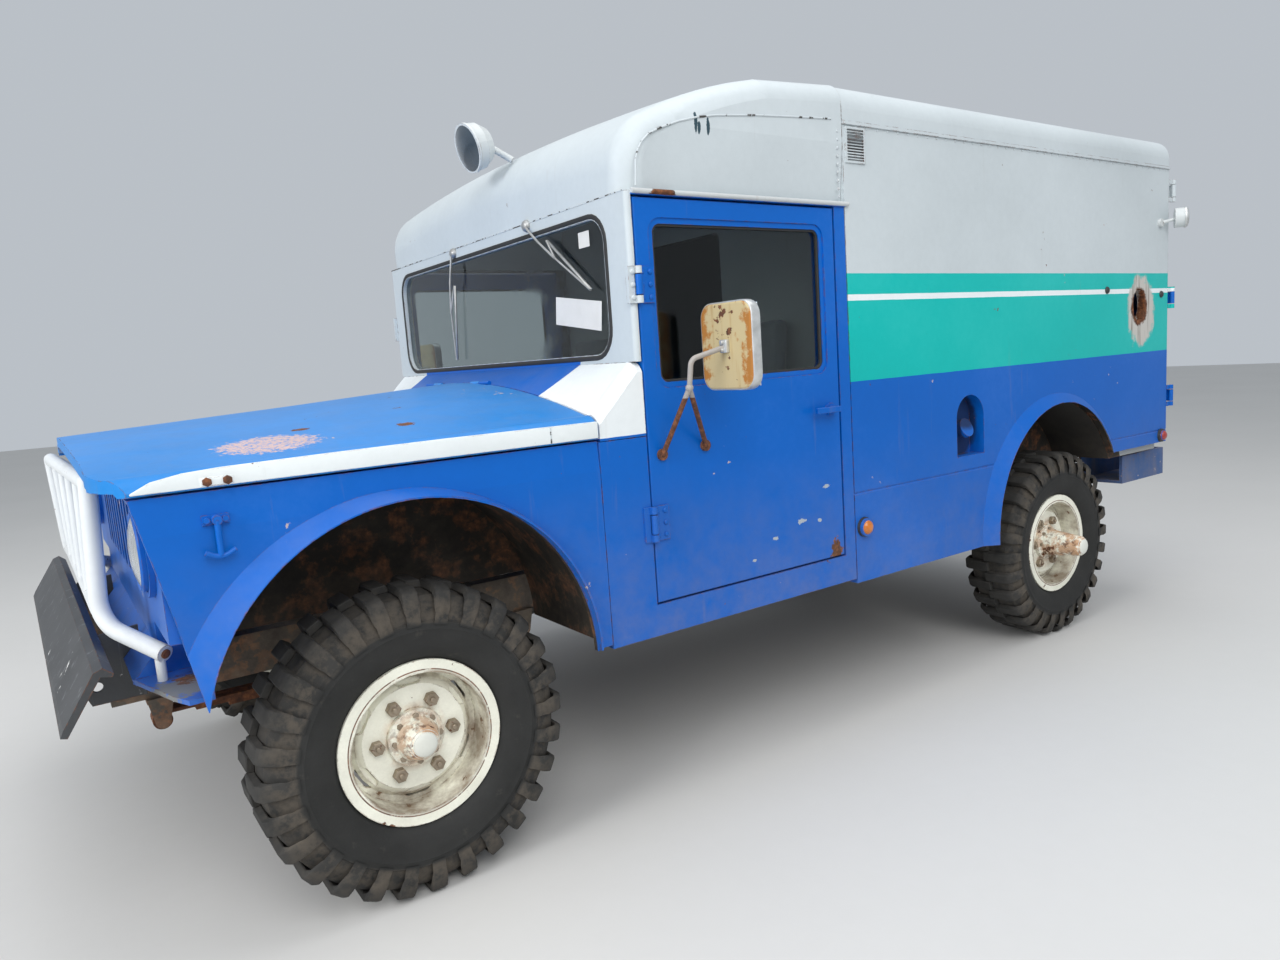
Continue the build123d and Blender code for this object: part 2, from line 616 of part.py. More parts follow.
def brush_guard():
    # two bent side tubes and a top tube, with a lower cross bar and uprights between
    top = {1: (722 - GUARD_PUSH, GUARD_HALF, GUARD_TOP_Z), -1: (722, -GUARD_HALF, GUARD_TOP_Z)}
    bend = {1: (692, GUARD_HALF, GUARD_BEND_Z), -1: (705, -GUARD_HALF, GUARD_BEND_Z)}
    guard = shaft_between(top[1], top[-1], GUARD_TUBE)
    for side in (1, -1):
        foot = (APRON_TOE[0], side * GUARD_FOOT_Y, GUARD_FOOT_Z)
        guard += bent_tube([foot, bend[side], top[side]], GUARD_TUBE, 90)
        guard += upright_pin(foot[0] + 12, side * (GUARD_FOOT_Y - 12), GUARD_STUD,
                             APRON_LOW_Z + APRON_METAL, GUARD_FOOT_Z)
        guard += Pos(*top[side]) * Sphere(GUARD_TUBE)

    def along(ends, y):
        share = (GUARD_HALF - y) / (2 * GUARD_HALF)
        return tuple(a + (b - a) * share for a, b in zip(ends[1], ends[-1]))

    low = {side: (bend[side][0], side * GUARD_HALF, GUARD_LOW_BAR_Z) for side in (1, -1)}
    guard += shaft_between(low[1], low[-1], GUARD_BAR + 2)
    for y in GUARD_BARS:
        guard += shaft_between(along(low, y), along(top, y), GUARD_BAR)
    return guard


def front_panel():
    # the grille panel between the fenders, with its slots and lamp pockets, and the gravel apron ahead of it
    y = HALF_WIDTH - FENDER_METAL - PANEL_GAP
    front = GRILLE_X + GRILLE_METAL
    top = FENDER_TOP_Z - LEDGE_METAL - PANEL_GAP
    panel = block(GRILLE_X, front, -y, y, GRILLE_BOTTOM, top)
    width, height = GRILLE_SLOT
    middle = (GRILLE_SLOTS - 1) / 2
    for number in range(GRILLE_SLOTS):
        panel -= cross_window((number - middle) * GRILLE_PITCH, width, GRILLE_SLOT_Z - height / 2,
                              GRILLE_SLOT_Z + height / 2, 20, GRILLE_X - 1, front + 1)
    for side in (1, -1):
        ring = long_pin(side * LAMP_Y, LAMP_Z, LAMP_RADIUS + LAMP_GAP + 14, front - 1, front + 14)
        panel += ring
        panel -= long_pin(side * LAMP_Y, LAMP_Z, LAMP_RADIUS + LAMP_GAP, GRILLE_X - 50, front + 40)
    rear_x, nose_x = APRON_TOE
    slope = [(GRILLE_X, GRILLE_BOTTOM + 20), (front, GRILLE_BOTTOM + 20), (nose_x, APRON_LOW_Z + 6),
             (nose_x - 6, APRON_LOW_Z - 6), (GRILLE_X, GRILLE_BOTTOM)]
    apron = side_plate(slope, -APRON_HALF, APRON_HALF)
    for side in (1, -1):
        apron -= block(front + 20, nose_x + 40, side * (RAIL_OUTER_Y - 80), side * (RAIL_OUTER_Y + 16),
                       APRON_LOW_Z - 40, GRILLE_BOTTOM + 60)
        inner = side * (APRON_HALF - APRON_METAL / 2)
        outer = side * y
        panel -= block(GRILLE_X - 1, front + 1, side * APRON_HALF, side * (y + 1), GRILLE_BOTTOM - 1,
                       APRON_NOTCH_Z)
        apron += side_plate([(GRILLE_X, GRILLE_BOTTOM + 20), (front, GRILLE_BOTTOM + 20),
                             (nose_x, APRON_LOW_Z + 6),
                             (nose_x, APRON_LOW_Z), (GRILLE_X, APRON_LOW_Z)], inner, side * APRON_HALF)
        plan = [(nose_x, inner), (rear_x + 8, side * (y - 60)), (GRILLE_X, outer), (SPLASH_X, outer),
                (SPLASH_X, inner)]
        toe = make_face(Polyline(*[(px, py, APRON_LOW_Z) for px, py in plan], close=True).edges())
        apron += extrude(toe, amount=APRON_METAL, dir=(0, 0, 1))
        apron += block(SPLASH_X, SPLASH_X + APRON_METAL, inner, outer, APRON_LOW_Z, APRON_NOTCH_Z + 30)
        apron += block(SPLASH_X, GRILLE_X + 1, inner, outer, APRON_NOTCH_Z, APRON_NOTCH_Z + APRON_METAL)
        apron += block(SPLASH_X, GRILLE_X + 1, inner, side * APRON_HALF, APRON_LOW_Z, APRON_NOTCH_Z)
    return panel + apron


def lamps():
    # head lamps, side and tail markers, the round lamps on arms at the rear corners, and the roof's spotlight
    pieces = []
    for side in (1, -1):
        head = long_pin(side * LAMP_Y, LAMP_Z, LAMP_RADIUS, LAMP_X - 64, LAMP_X)
        head = fillet(head.edges().filter_by(GeomType.CIRCLE).sort_by(Axis.X)[-1:], 14)
        pieces.append(head)
        pieces.append(cross_pin(REAR_AXLE - 891, 431, 26, side * HALF_WIDTH, side * (HALF_WIDTH + 18)))
        pieces.append(cross_pin(CAB_REAR_X - 48, 325, 34, side * HALF_WIDTH, side * (HALF_WIDTH + 20)))
        centre = (BODY_REAR_X + 10, side * (HALF_WIDTH + 58), 1537)
        foot = (BODY_REAR_X + 96, side * (HALF_WIDTH + 14), 1517)
        arm = cross_pin(foot[0], foot[2], 20, side * HALF_WIDTH,
                        side * (HALF_WIDTH + 16)) + shaft_between(foot, centre, 8)
        pieces.append(arm + Plane(origin=centre, z_dir=(-0.5, side * 0.86, 0)) * Cylinder(48, 46))
    foot = (SCREEN_X - 60, 212, CAB_FACE_TOP + 150)
    head = (SCREEN_X + 64, 170, ROOF_TOP - 152)
    bowl = turned([(-SPOTLIGHT * 0.7, 0), (-SPOTLIGHT * 0.7, SPOTLIGHT * 0.26),
                   (-SPOTLIGHT * 0.5, SPOTLIGHT * 0.66),
                   (-SPOTLIGHT * 0.1, SPOTLIGHT * 0.92), (SPOTLIGHT * 0.3,
                                                          SPOTLIGHT * 0.96), (SPOTLIGHT * 0.3, SPOTLIGHT),
                   (SPOTLIGHT * 0.42, SPOTLIGHT), (SPOTLIGHT * 0.42, SPOTLIGHT * 0.9), (SPOTLIGHT * 0.32,
                                                                                        SPOTLIGHT * 0.86),
                   (SPOTLIGHT * 0.32, 0)])
    lamp = Plane(origin=head, z_dir=(0.96, 0, -0.28)) * (Rot(90, 0, 0) * bowl)
    pieces.append(shaft_between(foot, (head[0] - SPOTLIGHT * 0.5, head[1], head[2] + 8), 12) + lamp)
    return pieces


def crown_section(x, edge, centre, half, bottom):
    # a cross-section with a flat bottom, upright sides, rounded shoulders and a crowned top
    inner = half - HOOD_SHOULDER
    lines = [
        Line((x, -half, bottom), (x, half, bottom)),
        Line((x, half, bottom), (x, half, edge - 20)),
        ThreePointArc((x, half, edge - 20), (x, half - 18, edge + 3), (x, inner, edge + 12)),
        ThreePointArc((x, inner, edge + 12), (x, 0, centre), (x, -inner, edge + 12)),
        ThreePointArc((x, -inner, edge + 12), (x, -half + 18, edge + 3), (x, -half, edge - 20)),
        Line((x, -half, edge - 20), (x, -half, bottom)),
    ]
    return make_face(Wire(lines))


def crowned_body(sections, half, bottom):
    return loft([crown_section(x, edge, centre, half, bottom) for x, edge, centre in sections], ruled=True)


def hood_knuckles(hood_part):
    # the barrels of the hood's two hinges: those on the hood, or those on the cowl
    near, far = (140, 215) if hood_part else (219, 294)
    x, z = HOOD_HINGE
    return [cross_pin(x, z, HOOD_HINGE_RADIUS, side * near, side * far) for side in (1, -1)]


def hood_knuckle_room(hood_part):
    near, far = (137, 218) if hood_part else (216, 297)
    x, z = HOOD_HINGE
    return [cross_pin(x, z, HOOD_HINGE_RADIUS + 5, side * near, side * far) for side in (1, -1)]


def hood():
    bottom = FENDER_TOP_Z + DOOR_GAP
    outer = crowned_body(HOOD_SECTIONS, HALF_WIDTH, bottom)
    lowered = [(x, edge - HOOD_METAL, centre - HOOD_METAL) for x, edge, centre in HOOD_SECTIONS]
    inner = crowned_body(lowered, HALF_WIDTH - HOOD_METAL, bottom - 40)
    corner = HALF_WIDTH - 218
    plan = make_face(Wire([
        Line((HOOD_REAR_X - 100, -HALF_WIDTH - 90), (HOOD_CORNER_X, -HALF_WIDTH - 90)),
        Line((HOOD_CORNER_X, -HALF_WIDTH - 90), (HOOD_CORNER_X, -HALF_WIDTH)),
        ThreePointArc((HOOD_CORNER_X, -HALF_WIDTH), (HOOD_CORNER_X + 43, -HALF_WIDTH + 68),
                      (HOOD_NOSE_X - 16, -corner)),
        ThreePointArc((HOOD_NOSE_X - 16, -corner), (HOOD_NOSE_X, 0), (HOOD_NOSE_X - 16, corner)),
        ThreePointArc((HOOD_NOSE_X - 16, corner), (HOOD_CORNER_X + 43, HALF_WIDTH - 68),
                      (HOOD_CORNER_X, HALF_WIDTH)),
        Line((HOOD_CORNER_X, HALF_WIDTH), (HOOD_CORNER_X, HALF_WIDTH + 90)),
        Line((HOOD_CORNER_X, HALF_WIDTH + 90), (HOOD_REAR_X - 100, HALF_WIDTH + 90)),
        Line((HOOD_REAR_X - 100, HALF_WIDTH + 90), (HOOD_REAR_X - 100, -HALF_WIDTH - 90)),
    ]))
    trim = Pos(0, 0, bottom - 60) * extrude(plan, amount=500)
    back = block(HOOD_REAR_X - 1, HOOD_REAR_X + HOOD_METAL, -HALF_WIDTH, HALF_WIDTH, bottom - 60,
                 bottom + 400)
    nose = block(HOOD_CORNER_X - HOOD_METAL, HOOD_NOSE_X + 1, -HALF_WIDTH, HALF_WIDTH, bottom + 10,
                 bottom + 400)
    low, high = HOOD_LIP_Z
    x0 = HOOD_CORNER_X - 60
    mouth = make_face(Wire([
        Line((x0, -HOOD_LIP_HALF, bottom - 60), (x0, HOOD_LIP_HALF, bottom - 60)),
        Line((x0, HOOD_LIP_HALF, bottom - 60), (x0, HOOD_LIP_HALF, low)),
        ThreePointArc((x0, HOOD_LIP_HALF, low), (x0, 0, high), (x0, -HOOD_LIP_HALF, low)),
        Line((x0, -HOOD_LIP_HALF, low), (x0, -HOOD_LIP_HALF, bottom - 60)),
    ]))
    lip = extrude(mouth, amount=HOOD_NOSE_X + 10 - x0, dir=(1, 0, 0))
    shell = (outer & trim) - (inner - nose - back) - lip
    shell -= hood_knuckle_room(False)
    return shell + hood_knuckles(True)


def fender():
    # the left front fender: side panel with its crease, top ledge, wheel arch, flare and inner splash liner
    ax, az, ar = FRONT_ARCH
    y0 = HALF_WIDTH - FENDER_METAL
    rear = FENDER_REAR_X
    low_x = HOOD_CORNER_X - FENDER_RAKE[0]
    tip_x = HOOD_CORNER_X - FENDER_RAKE[1]
    outline = [(rear, FENDER_TOP_Z), (HOOD_CORNER_X, FENDER_TOP_Z), (low_x, FENDER_LOW_Z),
               (tip_x, FENDER_TIP_Z),
               (ax, FENDER_TIP_Z), (ax, az), (rear, az)]
    panel = side_plate(outline, y0, HALF_WIDTH) + side_plate([(rear, az + 1), (ax - ar + 40, az + 1),
                                                              (ax - ar + 20, az - 10),
                                                              (rear, SILL_Z + 20)], y0, HALF_WIDTH)
    panel -= arch_hole(FRONT_ARCH, FRONT_SEAM, FENDER_METAL)
    drop, lean = FENDER_CREASE
    wedge = make_face(Polyline((rear - 1, HALF_WIDTH, FENDER_TOP_Z - drop),
                               (rear - 1, HALF_WIDTH + 1, FENDER_TOP_Z + 1),
                               (rear - 1, HALF_WIDTH - lean, FENDER_TOP_Z + 1), close=True).edges())
    panel -= extrude(wedge, amount=HOOD_CORNER_X - rear + 2, dir=(1, 0, 0))
    ledge_bottom = FENDER_TOP_Z - LEDGE_METAL
    ledge = side_plate([(rear, FENDER_TOP_Z), (HOOD_CORNER_X, FENDER_TOP_Z),
                        (HOOD_CORNER_X - 7, ledge_bottom),
                        (rear, ledge_bottom)], y0 - LEDGE_WIDTH, y0 + 1)
    inner = ar + LINER_GAP
    wall_top = ledge_bottom - 20
    liner = cross_pin(ax, az, inner + LINER_METAL, INNER_FENDER_Y, y0 + 1) - cross_pin(ax, az, inner,
            INNER_FENDER_Y - 1, y0 + 2)
    liner &= block(ax - 700, ax + 330, 0, HALF_WIDTH, az + 10, wall_top)
    wall = block(rear + 8, SPLASH_X - PANEL_GAP, INNER_FENDER_Y - 10, INNER_FENDER_Y, 319, wall_top)
    flared = flare(FRONT_ARCH, FRONT_SEAM, FRONT_FLARE) & side_plate(outline, 0, HALF_WIDTH + 100)
    return panel + ledge + liner + wall + flared + hood_catch()


def hood_catch():
    # the T-handle that pulls the hood down, hung from a bracket with two bolts
    x, z = CATCH
    y = HALF_WIDTH + 19
    catch = block(x - 29, x + 29, HALF_WIDTH - 4, HALF_WIDTH + 5, z - 11, z + 11) + cross_pin(x, z, 11,
            HALF_WIDTH, y + 6)
    for shift in (-20, 20):
        catch += cross_pin(x + shift, z, 7, HALF_WIDTH, HALF_WIDTH + 13)
    low = z - CATCH_LENGTH
    catch += upright_pin(x, y, 7, low, z)
    return catch + bent_tube([(x - 33, y, low + 10), (x, y, low - 7), (x + 33, y, low + 10)], 6, 40)


def arch_hole(arch, seam, metal):
    # what a flared wheel arch cuts out of its panel
    ax, az, ar = arch
    ahead, up, growth = seam
    return cross_pin(ax + ahead, az + up, ar + growth - FLARE_JOINT, HALF_WIDTH - metal - 1, HALF_WIDTH + 1)


def flare(arch, seam, proud):
    # sheet pressed out from the seam's circle to the lip's, which leans so that one end stands out further
    ax, az, ar = arch
    ahead, up, growth = seam
    at_front, at_rear = proud
    root = Plane(origin=(ax + ahead, HALF_WIDTH - 2, az + up), x_dir=(1, 0, 0), z_dir=(0, 1, 0))
    lean = (at_front - at_rear) / (2 * ar)
    middle = HALF_WIDTH + (at_front + at_rear) / 2
    lip = Plane(origin=(ax, middle, az), x_dir=(1, lean, 0), z_dir=(-lean, 1, 0))
    outer = loft([root * Circle(ar + growth), lip * Circle(ar + FLARE_METAL / 2)], ruled=True)
    under = root.offset(-FLARE_JOINT)
    inner = loft([under * Circle(ar + growth - FLARE_JOINT), lip.offset(4) * Circle(ar - FLARE_METAL / 2)],
                 ruled=True)
    return outer - inner


# Cab

def cowl():
    # the firewall, and the cowl rising from the hood's rear edge to the windscreen's sill
    bottom = FENDER_TOP_Z - 2
    outer = crowned_body(COWL_SECTIONS, HALF_WIDTH, bottom)
    lowered = [(x, edge - COWL_METAL, centre - COWL_METAL) for x, edge, centre in COWL_SECTIONS]
    inner = crowned_body(lowered, HALF_WIDTH - COWL_METAL, bottom - 40)
    inner -= block(COWL_FRONT_X + 1, COWL_FRONT_X - COWL_METAL, -HALF_WIDTH, HALF_WIDTH, bottom - 60,
                   bottom + 400)
    shell = outer - inner
    rear = block(PILLAR_REAR_X - 400, PILLAR_REAR_X, -2 * HALF_WIDTH, 2 * HALF_WIDTH, bottom - 60,
                 bottom + 400)
    sill_top = SCREEN_SILL_Z - SEAT_GAP
    sill_half = HALF_WIDTH - DOOR_METAL - DOOR_GAP
    shell += block(SCREEN_X - SCREEN_FRAME_METAL, PILLAR_REAR_X + 6, -sill_half, sill_half, sill_top - 36,
                   sill_top - 12)
    wall_half = HALF_WIDTH - DOOR_METAL - PANEL_GAP
    wall = block(FIREWALL_X - 20, FIREWALL_X, -wall_half, wall_half, CAB_FLOOR_Z, COWL_EDGE_Z - 40)
    wall += block(FIREWALL_X - 1, COWL_FRONT_X - COWL_METAL + 1, -wall_half, wall_half, COWL_EDGE_Z - 66,
                  COWL_EDGE_Z - 40)
    wall -= block(FIREWALL_X - 30, FIREWALL_X + 10, -TUNNEL_HALF, TUNNEL_HALF, CAB_FLOOR_Z - 1, TUNNEL_TOP)
    shell -= block(SCREEN_X - SCREEN_FRAME_METAL, SCREEN_X + SEAT_GAP, -2 * HALF_WIDTH, 2 * HALF_WIDTH,
                   sill_top, sill_top + 200)
    shell -= hood_knuckle_room(True)
    return shell - behind_doors(rear, sill_half) + wall + hood_knuckles(False)


def behind_doors(rear, sill_half):
    return rear - block(PILLAR_REAR_X - 500, PILLAR_REAR_X + 1, -sill_half, sill_half, -1000, 3000)


def windscreen_frame():
    z0 = SCREEN_SILL_Z
    z1 = HEADER_Z - PANEL_GAP
    plate = block(SCREEN_X - SCREEN_FRAME_METAL, SCREEN_X, -HALF_WIDTH, HALF_WIDTH, z0, z1)
    for side in (1, -1):
        plate -= block(PILLAR_REAR_X, PILLAR_REAR_X - 100, side * (HALF_WIDTH - DOOR_METAL - DOOR_GAP),
                       side * 2 * HALF_WIDTH,
                       z0 - 1, z1 + 1)
    front_edges = plate.edges().filter_by(Axis.Z).sort_by(Axis.X)[-2:]
    plate = fillet(front_edges, 15)
    return plate - screen_opening(SCREEN_X - 100, SCREEN_X + 10)


def screen_opening(x0, x1):
    return cross_window(0, 2 * (SCREEN_HALF_WIDTH - SCREEN_RUBBER), SCREEN_BOTTOM_Z + SCREEN_RUBBER,
                        SCREEN_TOP_Z - SCREEN_RUBBER, SCREEN_CORNER - 20, x0, x1)


def windscreen():
    return screen_opening(SCREEN_X - 20, SCREEN_X - 20 + GLASS_METAL)


def cab_side():
    # the left side: cowl side panel, sill, door header with its drip moulding, the rear pillar and hinge leaves
    y0 = HALF_WIDTH - DOOR_METAL
    front = HOOD_REAR_X - PANEL_GAP
    cowl_bottom = FENDER_TOP_Z - 4
    top = HEADER_Z - PANEL_GAP
    outline = [(front, SILL_Z), (front, cowl_bottom), (front - 52, cowl_bottom),
               (front - 52, COWL_EDGE_Z - 60),
               (PILLAR_REAR_X, COWL_EDGE_Z + 60), (PILLAR_REAR_X, top), (CAB_REAR_X + PANEL_GAP, top),
               (CAB_REAR_X + PANEL_GAP, SILL_Z)]
    panel = side_plate(outline, y0, HALF_WIDTH)
    panel -= block(PILLAR_REAR_X, DOOR_REAR_X - DOOR_GAP, y0 - 1, HALF_WIDTH + 1, DOOR_BOTTOM_Z - DOOR_GAP,
                   DOOR_TOP_Z + DOOR_GAP)
    panel -= block(SCREEN_X + 160, PILLAR_REAR_X - 1, HALF_WIDTH - COWL_METAL - PANEL_GAP, HALF_WIDTH + 1,
                   cowl_bottom,
                   DOOR_TOP_Z)
    moulding, height = DRIP_RAIL
    panel += block(CAB_REAR_X + PANEL_GAP, PILLAR_REAR_X, HALF_WIDTH - 1, HALF_WIDTH + moulding,
                   top - height, top)
    lower = DOOR_HINGE_Z[0]
    return panel + hinge_leaf(lower)


def hinge_leaf(z):
    # the half of a door hinge that is fixed to the body, in front of the pin
    x, y = DOOR_HINGE
    leaf = block(x + 12, x + FIXED_LEAF, HALF_WIDTH - 10, HALF_WIDTH + LEAF_THICK, z - HINGE_HALF,
                 z + HINGE_HALF)
    low = KNUCKLE_HALF + KNUCKLE_GAP
    for z0, z1 in ((z - HINGE_HALF, z - low), (z + low, z + HINGE_HALF)):
        leaf += block(x, x + 13, HALF_WIDTH - 1, y, z0, z1)
        leaf += upright_pin(x, y, HINGE_RADIUS, z0, z1)
    return leaf


def cab_floor():
    y = HALF_WIDTH - DOOR_METAL - DOOR_GAP
    front = FIREWALL_X - 22
    floor = block(CAB_REAR_X + PANEL_GAP, front, -y, y, CAB_FLOOR_Z - FLOOR_METAL, CAB_FLOOR_Z)
    tunnel = block(-1500, front, -TUNNEL_HALF - TUNNEL_METAL, TUNNEL_HALF + TUNNEL_METAL, CAB_FLOOR_Z - 10,
                   TUNNEL_TOP + TUNNEL_METAL)
    tunnel = fillet(tunnel.edges().filter_by(Axis.X).sort_by(Axis.Z)[-2:], 30)
    hollow = block(-1480, front + 1, -TUNNEL_HALF, TUNNEL_HALF, CAB_FLOOR_Z - 40, TUNNEL_TOP)
    boxes = [block(SEAT_REAR_X, SEAT_FRONT_X - 20, side * (SEAT_Y - 230), side * (SEAT_Y + 230),
                   CAB_FLOOR_Z - 5, SEAT_BOX_Z)
             for side in (1, -1)]
    return floor + tunnel - hollow + boxes


def crowned(profile, half_width):
    # a roof: an outline in the XZ plane swung about a far axis below, so that it is crowned across
    centre_z = ROOF_TOP - CROWN_RADIUS
    swing = 2 * degrees((half_width + 20) / CROWN_RADIUS)
    body = revolve(profile, Axis((0, 0, centre_z), (1, 0, 0)), swing)
    return Pos(0, 0, centre_z) * Rot(-swing / 2, 0, 0) * Pos(0, 0, -centre_z) * body


def cab_roof_profile(inset, bottom):
    face_x = SCREEN_X - inset
    nose = CAB_NOSE_RADIUS - inset
    nose_x = SCREEN_X - CAB_NOSE_RADIUS

    def on_arc(angle):
        return (nose_x + nose * cos(angle), 0, CAB_FACE_TOP + nose * sin(angle))

    turn = radians(CAB_NOSE_TURN)
    crest = (CAB_CREST[0], 0, CAB_CREST[1] - inset)
    rear = (CAB_REAR_X, 0, ROOF_TOP - inset)
    wire = Wire([
        Line((CAB_REAR_X, 0, bottom), (face_x, 0, bottom)),
        Line((face_x, 0, bottom), (face_x, 0, CAB_FACE_TOP)),
        ThreePointArc((face_x, 0, CAB_FACE_TOP), on_arc(turn / 2), on_arc(turn)),
        TangentArc(on_arc(turn), crest, tangent=Vector(-sin(turn), 0, cos(turn))),
        Line(crest, rear),
        Line(rear, (CAB_REAR_X, 0, bottom)),
    ])
    return make_face(wire)


def cab_roof_solid(inset, bottom, corner):
    half = HALF_WIDTH - inset
    body = crowned(cab_roof_profile(inset, bottom - 100), half)
    body &= block(CAB_REAR_X, 0, -half, half, bottom, ROOF_TOP + 500)
    edges = [e for e in body.edges() if abs(abs(e.center().Y) - half) < 1
             and e.center().X > CAB_REAR_X + 1 and e.center().Z > bottom + 1]
    return fillet(edges, corner)


def cab_roof():
    outer = cab_roof_solid(0, HEADER_Z, CAB_ROOF_CORNER)
    inner = cab_roof_solid(ROOF_WALL, HEADER_Z - 10, CAB_ROOF_CORNER - ROOF_WALL)
    return outer - inner


def rear_roof_solid(inset, bottom, corner):
    half = HALF_WIDTH - inset
    x0 = BODY_REAR_X + inset
    x1 = CAB_REAR_X - PANEL_GAP
    z1 = ROOF_TOP - inset
    profile = side_face([(x0, bottom - 100), (x1, bottom - 100), (x1, z1), (x0, z1)], 0)
    body = crowned(profile, half) & block(x0, x1, -half, half, bottom, ROOF_TOP + 500)
    edges = [e for e in body.edges() if abs(abs(e.center().Y) - half) < 1 and e.center().Z > bottom + 20
             and abs(e.center().X - (x0 + x1) / 2) < 1]
    return fillet(edges, corner)


def rear_roof():
    outer = rear_roof_solid(0, DRIP_Z + PANEL_GAP, REAR_ROOF_CORNER)
    inner = rear_roof_solid(ROOF_WALL, DRIP_Z - 10, REAR_ROOF_CORNER - ROOF_WALL)
    return outer - inner


# Rear body
def body_side():
    # one wall with its wheel arch, flare, crease, drip rail, vent and the fixed halves of the rear hinges
    ax, az, ar = REAR_ARCH
    y0 = HALF_WIDTH - BODY_WALL
    front = CAB_REAR_X - PANEL_GAP
    outline = [(front, BODY_BOTTOM_Z), (front, DRIP_Z), (BODY_REAR_X, DRIP_Z), (BODY_REAR_X, TAIL_BOTTOM_Z),
               (ax, TAIL_BOTTOM_Z), (ax, BODY_BOTTOM_Z)]
    wall = side_plate(outline, y0, HALF_WIDTH)
    wall -= arch_hole(REAR_ARCH, REAR_SEAM, BODY_WALL)
    groove = make_face(Polyline((BODY_REAR_X - 1, HALF_WIDTH + 1, BODY_CREASE_Z - 8),
                                (BODY_REAR_X - 1, HALF_WIDTH + 1, BODY_CREASE_Z + 8),
                                (BODY_REAR_X - 1, HALF_WIDTH - 4, BODY_CREASE_Z), close=True).edges())
    wall -= extrude(groove, amount=front - BODY_REAR_X + 2, dir=(1, 0, 0))
    proud, height = DRIP_RAIL
    wall += block(BODY_REAR_X, front, HALF_WIDTH - 1, HALF_WIDTH + proud, DRIP_Z - height, DRIP_Z)
    wall += vent()
    x, y = REAR_HINGE
    low = KNUCKLE_HALF + KNUCKLE_GAP
    for z in REAR_HINGE_Z:
        for z0, z1 in ((z - HINGE_HALF, z - low), (z + low, z + HINGE_HALF)):
            wall += block(x, BODY_REAR_X + 1, HALF_WIDTH - 8, HALF_WIDTH + 2, z0, z1)
            wall += upright_pin(x, y, HINGE_RADIUS, z0, z1)
    return wall + (flare(REAR_ARCH, REAR_SEAM, REAR_FLARE) & side_plate(outline, 0, HALF_WIDTH + 100))


def vent():
    # a louvred vent under the drip rail: a raised plate with a column of slots
    length, height = VENT_SIZE
    top = DRIP_Z - 18
    plate = block(VENT_FRONT_X - length, VENT_FRONT_X, HALF_WIDTH - 1, HALF_WIDTH + VENT_PROUD,
                  top - height, top)
    pitch = (height - 12) / VENT_SLOTS
    for number in range(VENT_SLOTS):
        z = top - 6 - (number + 0.5) * pitch
        plate -= block(VENT_FRONT_X - length + 9, VENT_FRONT_X - 9, HALF_WIDTH,
                       HALF_WIDTH + VENT_PROUD + 1, z - 2.5, z + 2.5)
    return plate


def arched(inset, y0, y1):
    # the filler recess's outline, straight sides under a round top, from y0 to y1
    half = FILLER_WIDTH / 2 - inset
    spring = FILLER_BOTTOM_Z + FILLER_HEIGHT - FILLER_WIDTH / 2
    low = block(FILLER_X - half, FILLER_X + half, y0, y1, FILLER_BOTTOM_Z + inset, spring)
    return low + cross_pin(FILLER_X, spring, half, y0, y1)


def left_body_side():
    # the left wall alone has the fuel filler's recess and the torn hole
    back = HALF_WIDTH - FILLER_DEPTH
    wall = body_side() + arched(-FILLER_METAL, back - FILLER_METAL, HALF_WIDTH - 1)
    wall -= arched(0, back, HALF_WIDTH + 1)
    neck = (FILLER_X, FILLER_BOTTOM_Z + 96)
    wall += shaft_between((neck[0], back - 2, neck[1]), (neck[0], back + 34, neck[1] + 14), 30)
    wall += shaft_between((neck[0], back + 32, neck[1] + 13), (neck[0], back + 52, neck[1] + 21), 40)
    hole = side_plate([(REAR_AXLE - behind, z) for behind, z in TORN_HOLE], HALF_WIDTH - BODY_WALL - 1,
                      HALF_WIDTH + 1)
    return wall - hole


def rear_frame():
    # the rear wall's frame round the two rear doors
    y = HALF_WIDTH - BODY_WALL - PANEL_GAP
    wall = block(BODY_REAR_X, BODY_REAR_X + REAR_FRAME_METAL, -y, y, TAIL_BOTTOM_Z, DRIP_Z)
    return wall - block(BODY_REAR_X - 1, BODY_REAR_X + REAR_FRAME_METAL + 1, -REAR_OPENING_HALF,
                        REAR_OPENING_HALF,
                        REAR_OPENING_BOTTOM, REAR_OPENING_TOP)


def load_floor():
    # the floor with a round box over each rear wheel, and the bulkhead with its doorway to the cab
    y = HALF_WIDTH - BODY_WALL - PANEL_GAP
    front = CAB_REAR_X - PANEL_GAP
    rear = BODY_REAR_X + REAR_FRAME_METAL + PANEL_GAP
    ax, az, ar = REAR_ARCH
    under = LOAD_FLOOR_Z - FLOOR_METAL
    floor = block(rear, front, -y, y, under, LOAD_FLOOR_Z)
    inside = ar + 10
    for side in (1, -1):
        box = cross_pin(ax, az, inside + WHEEL_BOX_METAL, side * WHEEL_BOX_Y, side * y)
        hollow = cross_pin(ax, az, inside, side * (WHEEL_BOX_Y + WHEEL_BOX_METAL), side * (y + 1))
        floor -= hollow
        floor += (box - hollow) & block(ax - 2 * ar, ax + 2 * ar, -y, y, under, under + 2 * ar)
    wall = block(front - BULKHEAD_METAL, front, -y, y, under, DRIP_Z)
    wall -= cross_window(0, 2 * BULKHEAD_DOOR_HALF, LOAD_FLOOR_Z, BULKHEAD_DOOR_TOP, 30,
                         front - BULKHEAD_METAL - 1, front + 1)
    if FILLER_DEPTH > BODY_WALL:
        floor -= arched(-FILLER_METAL - PANEL_GAP, HALF_WIDTH - FILLER_DEPTH - FILLER_METAL - PANEL_GAP,
                        HALF_WIDTH)
    return floor + wall


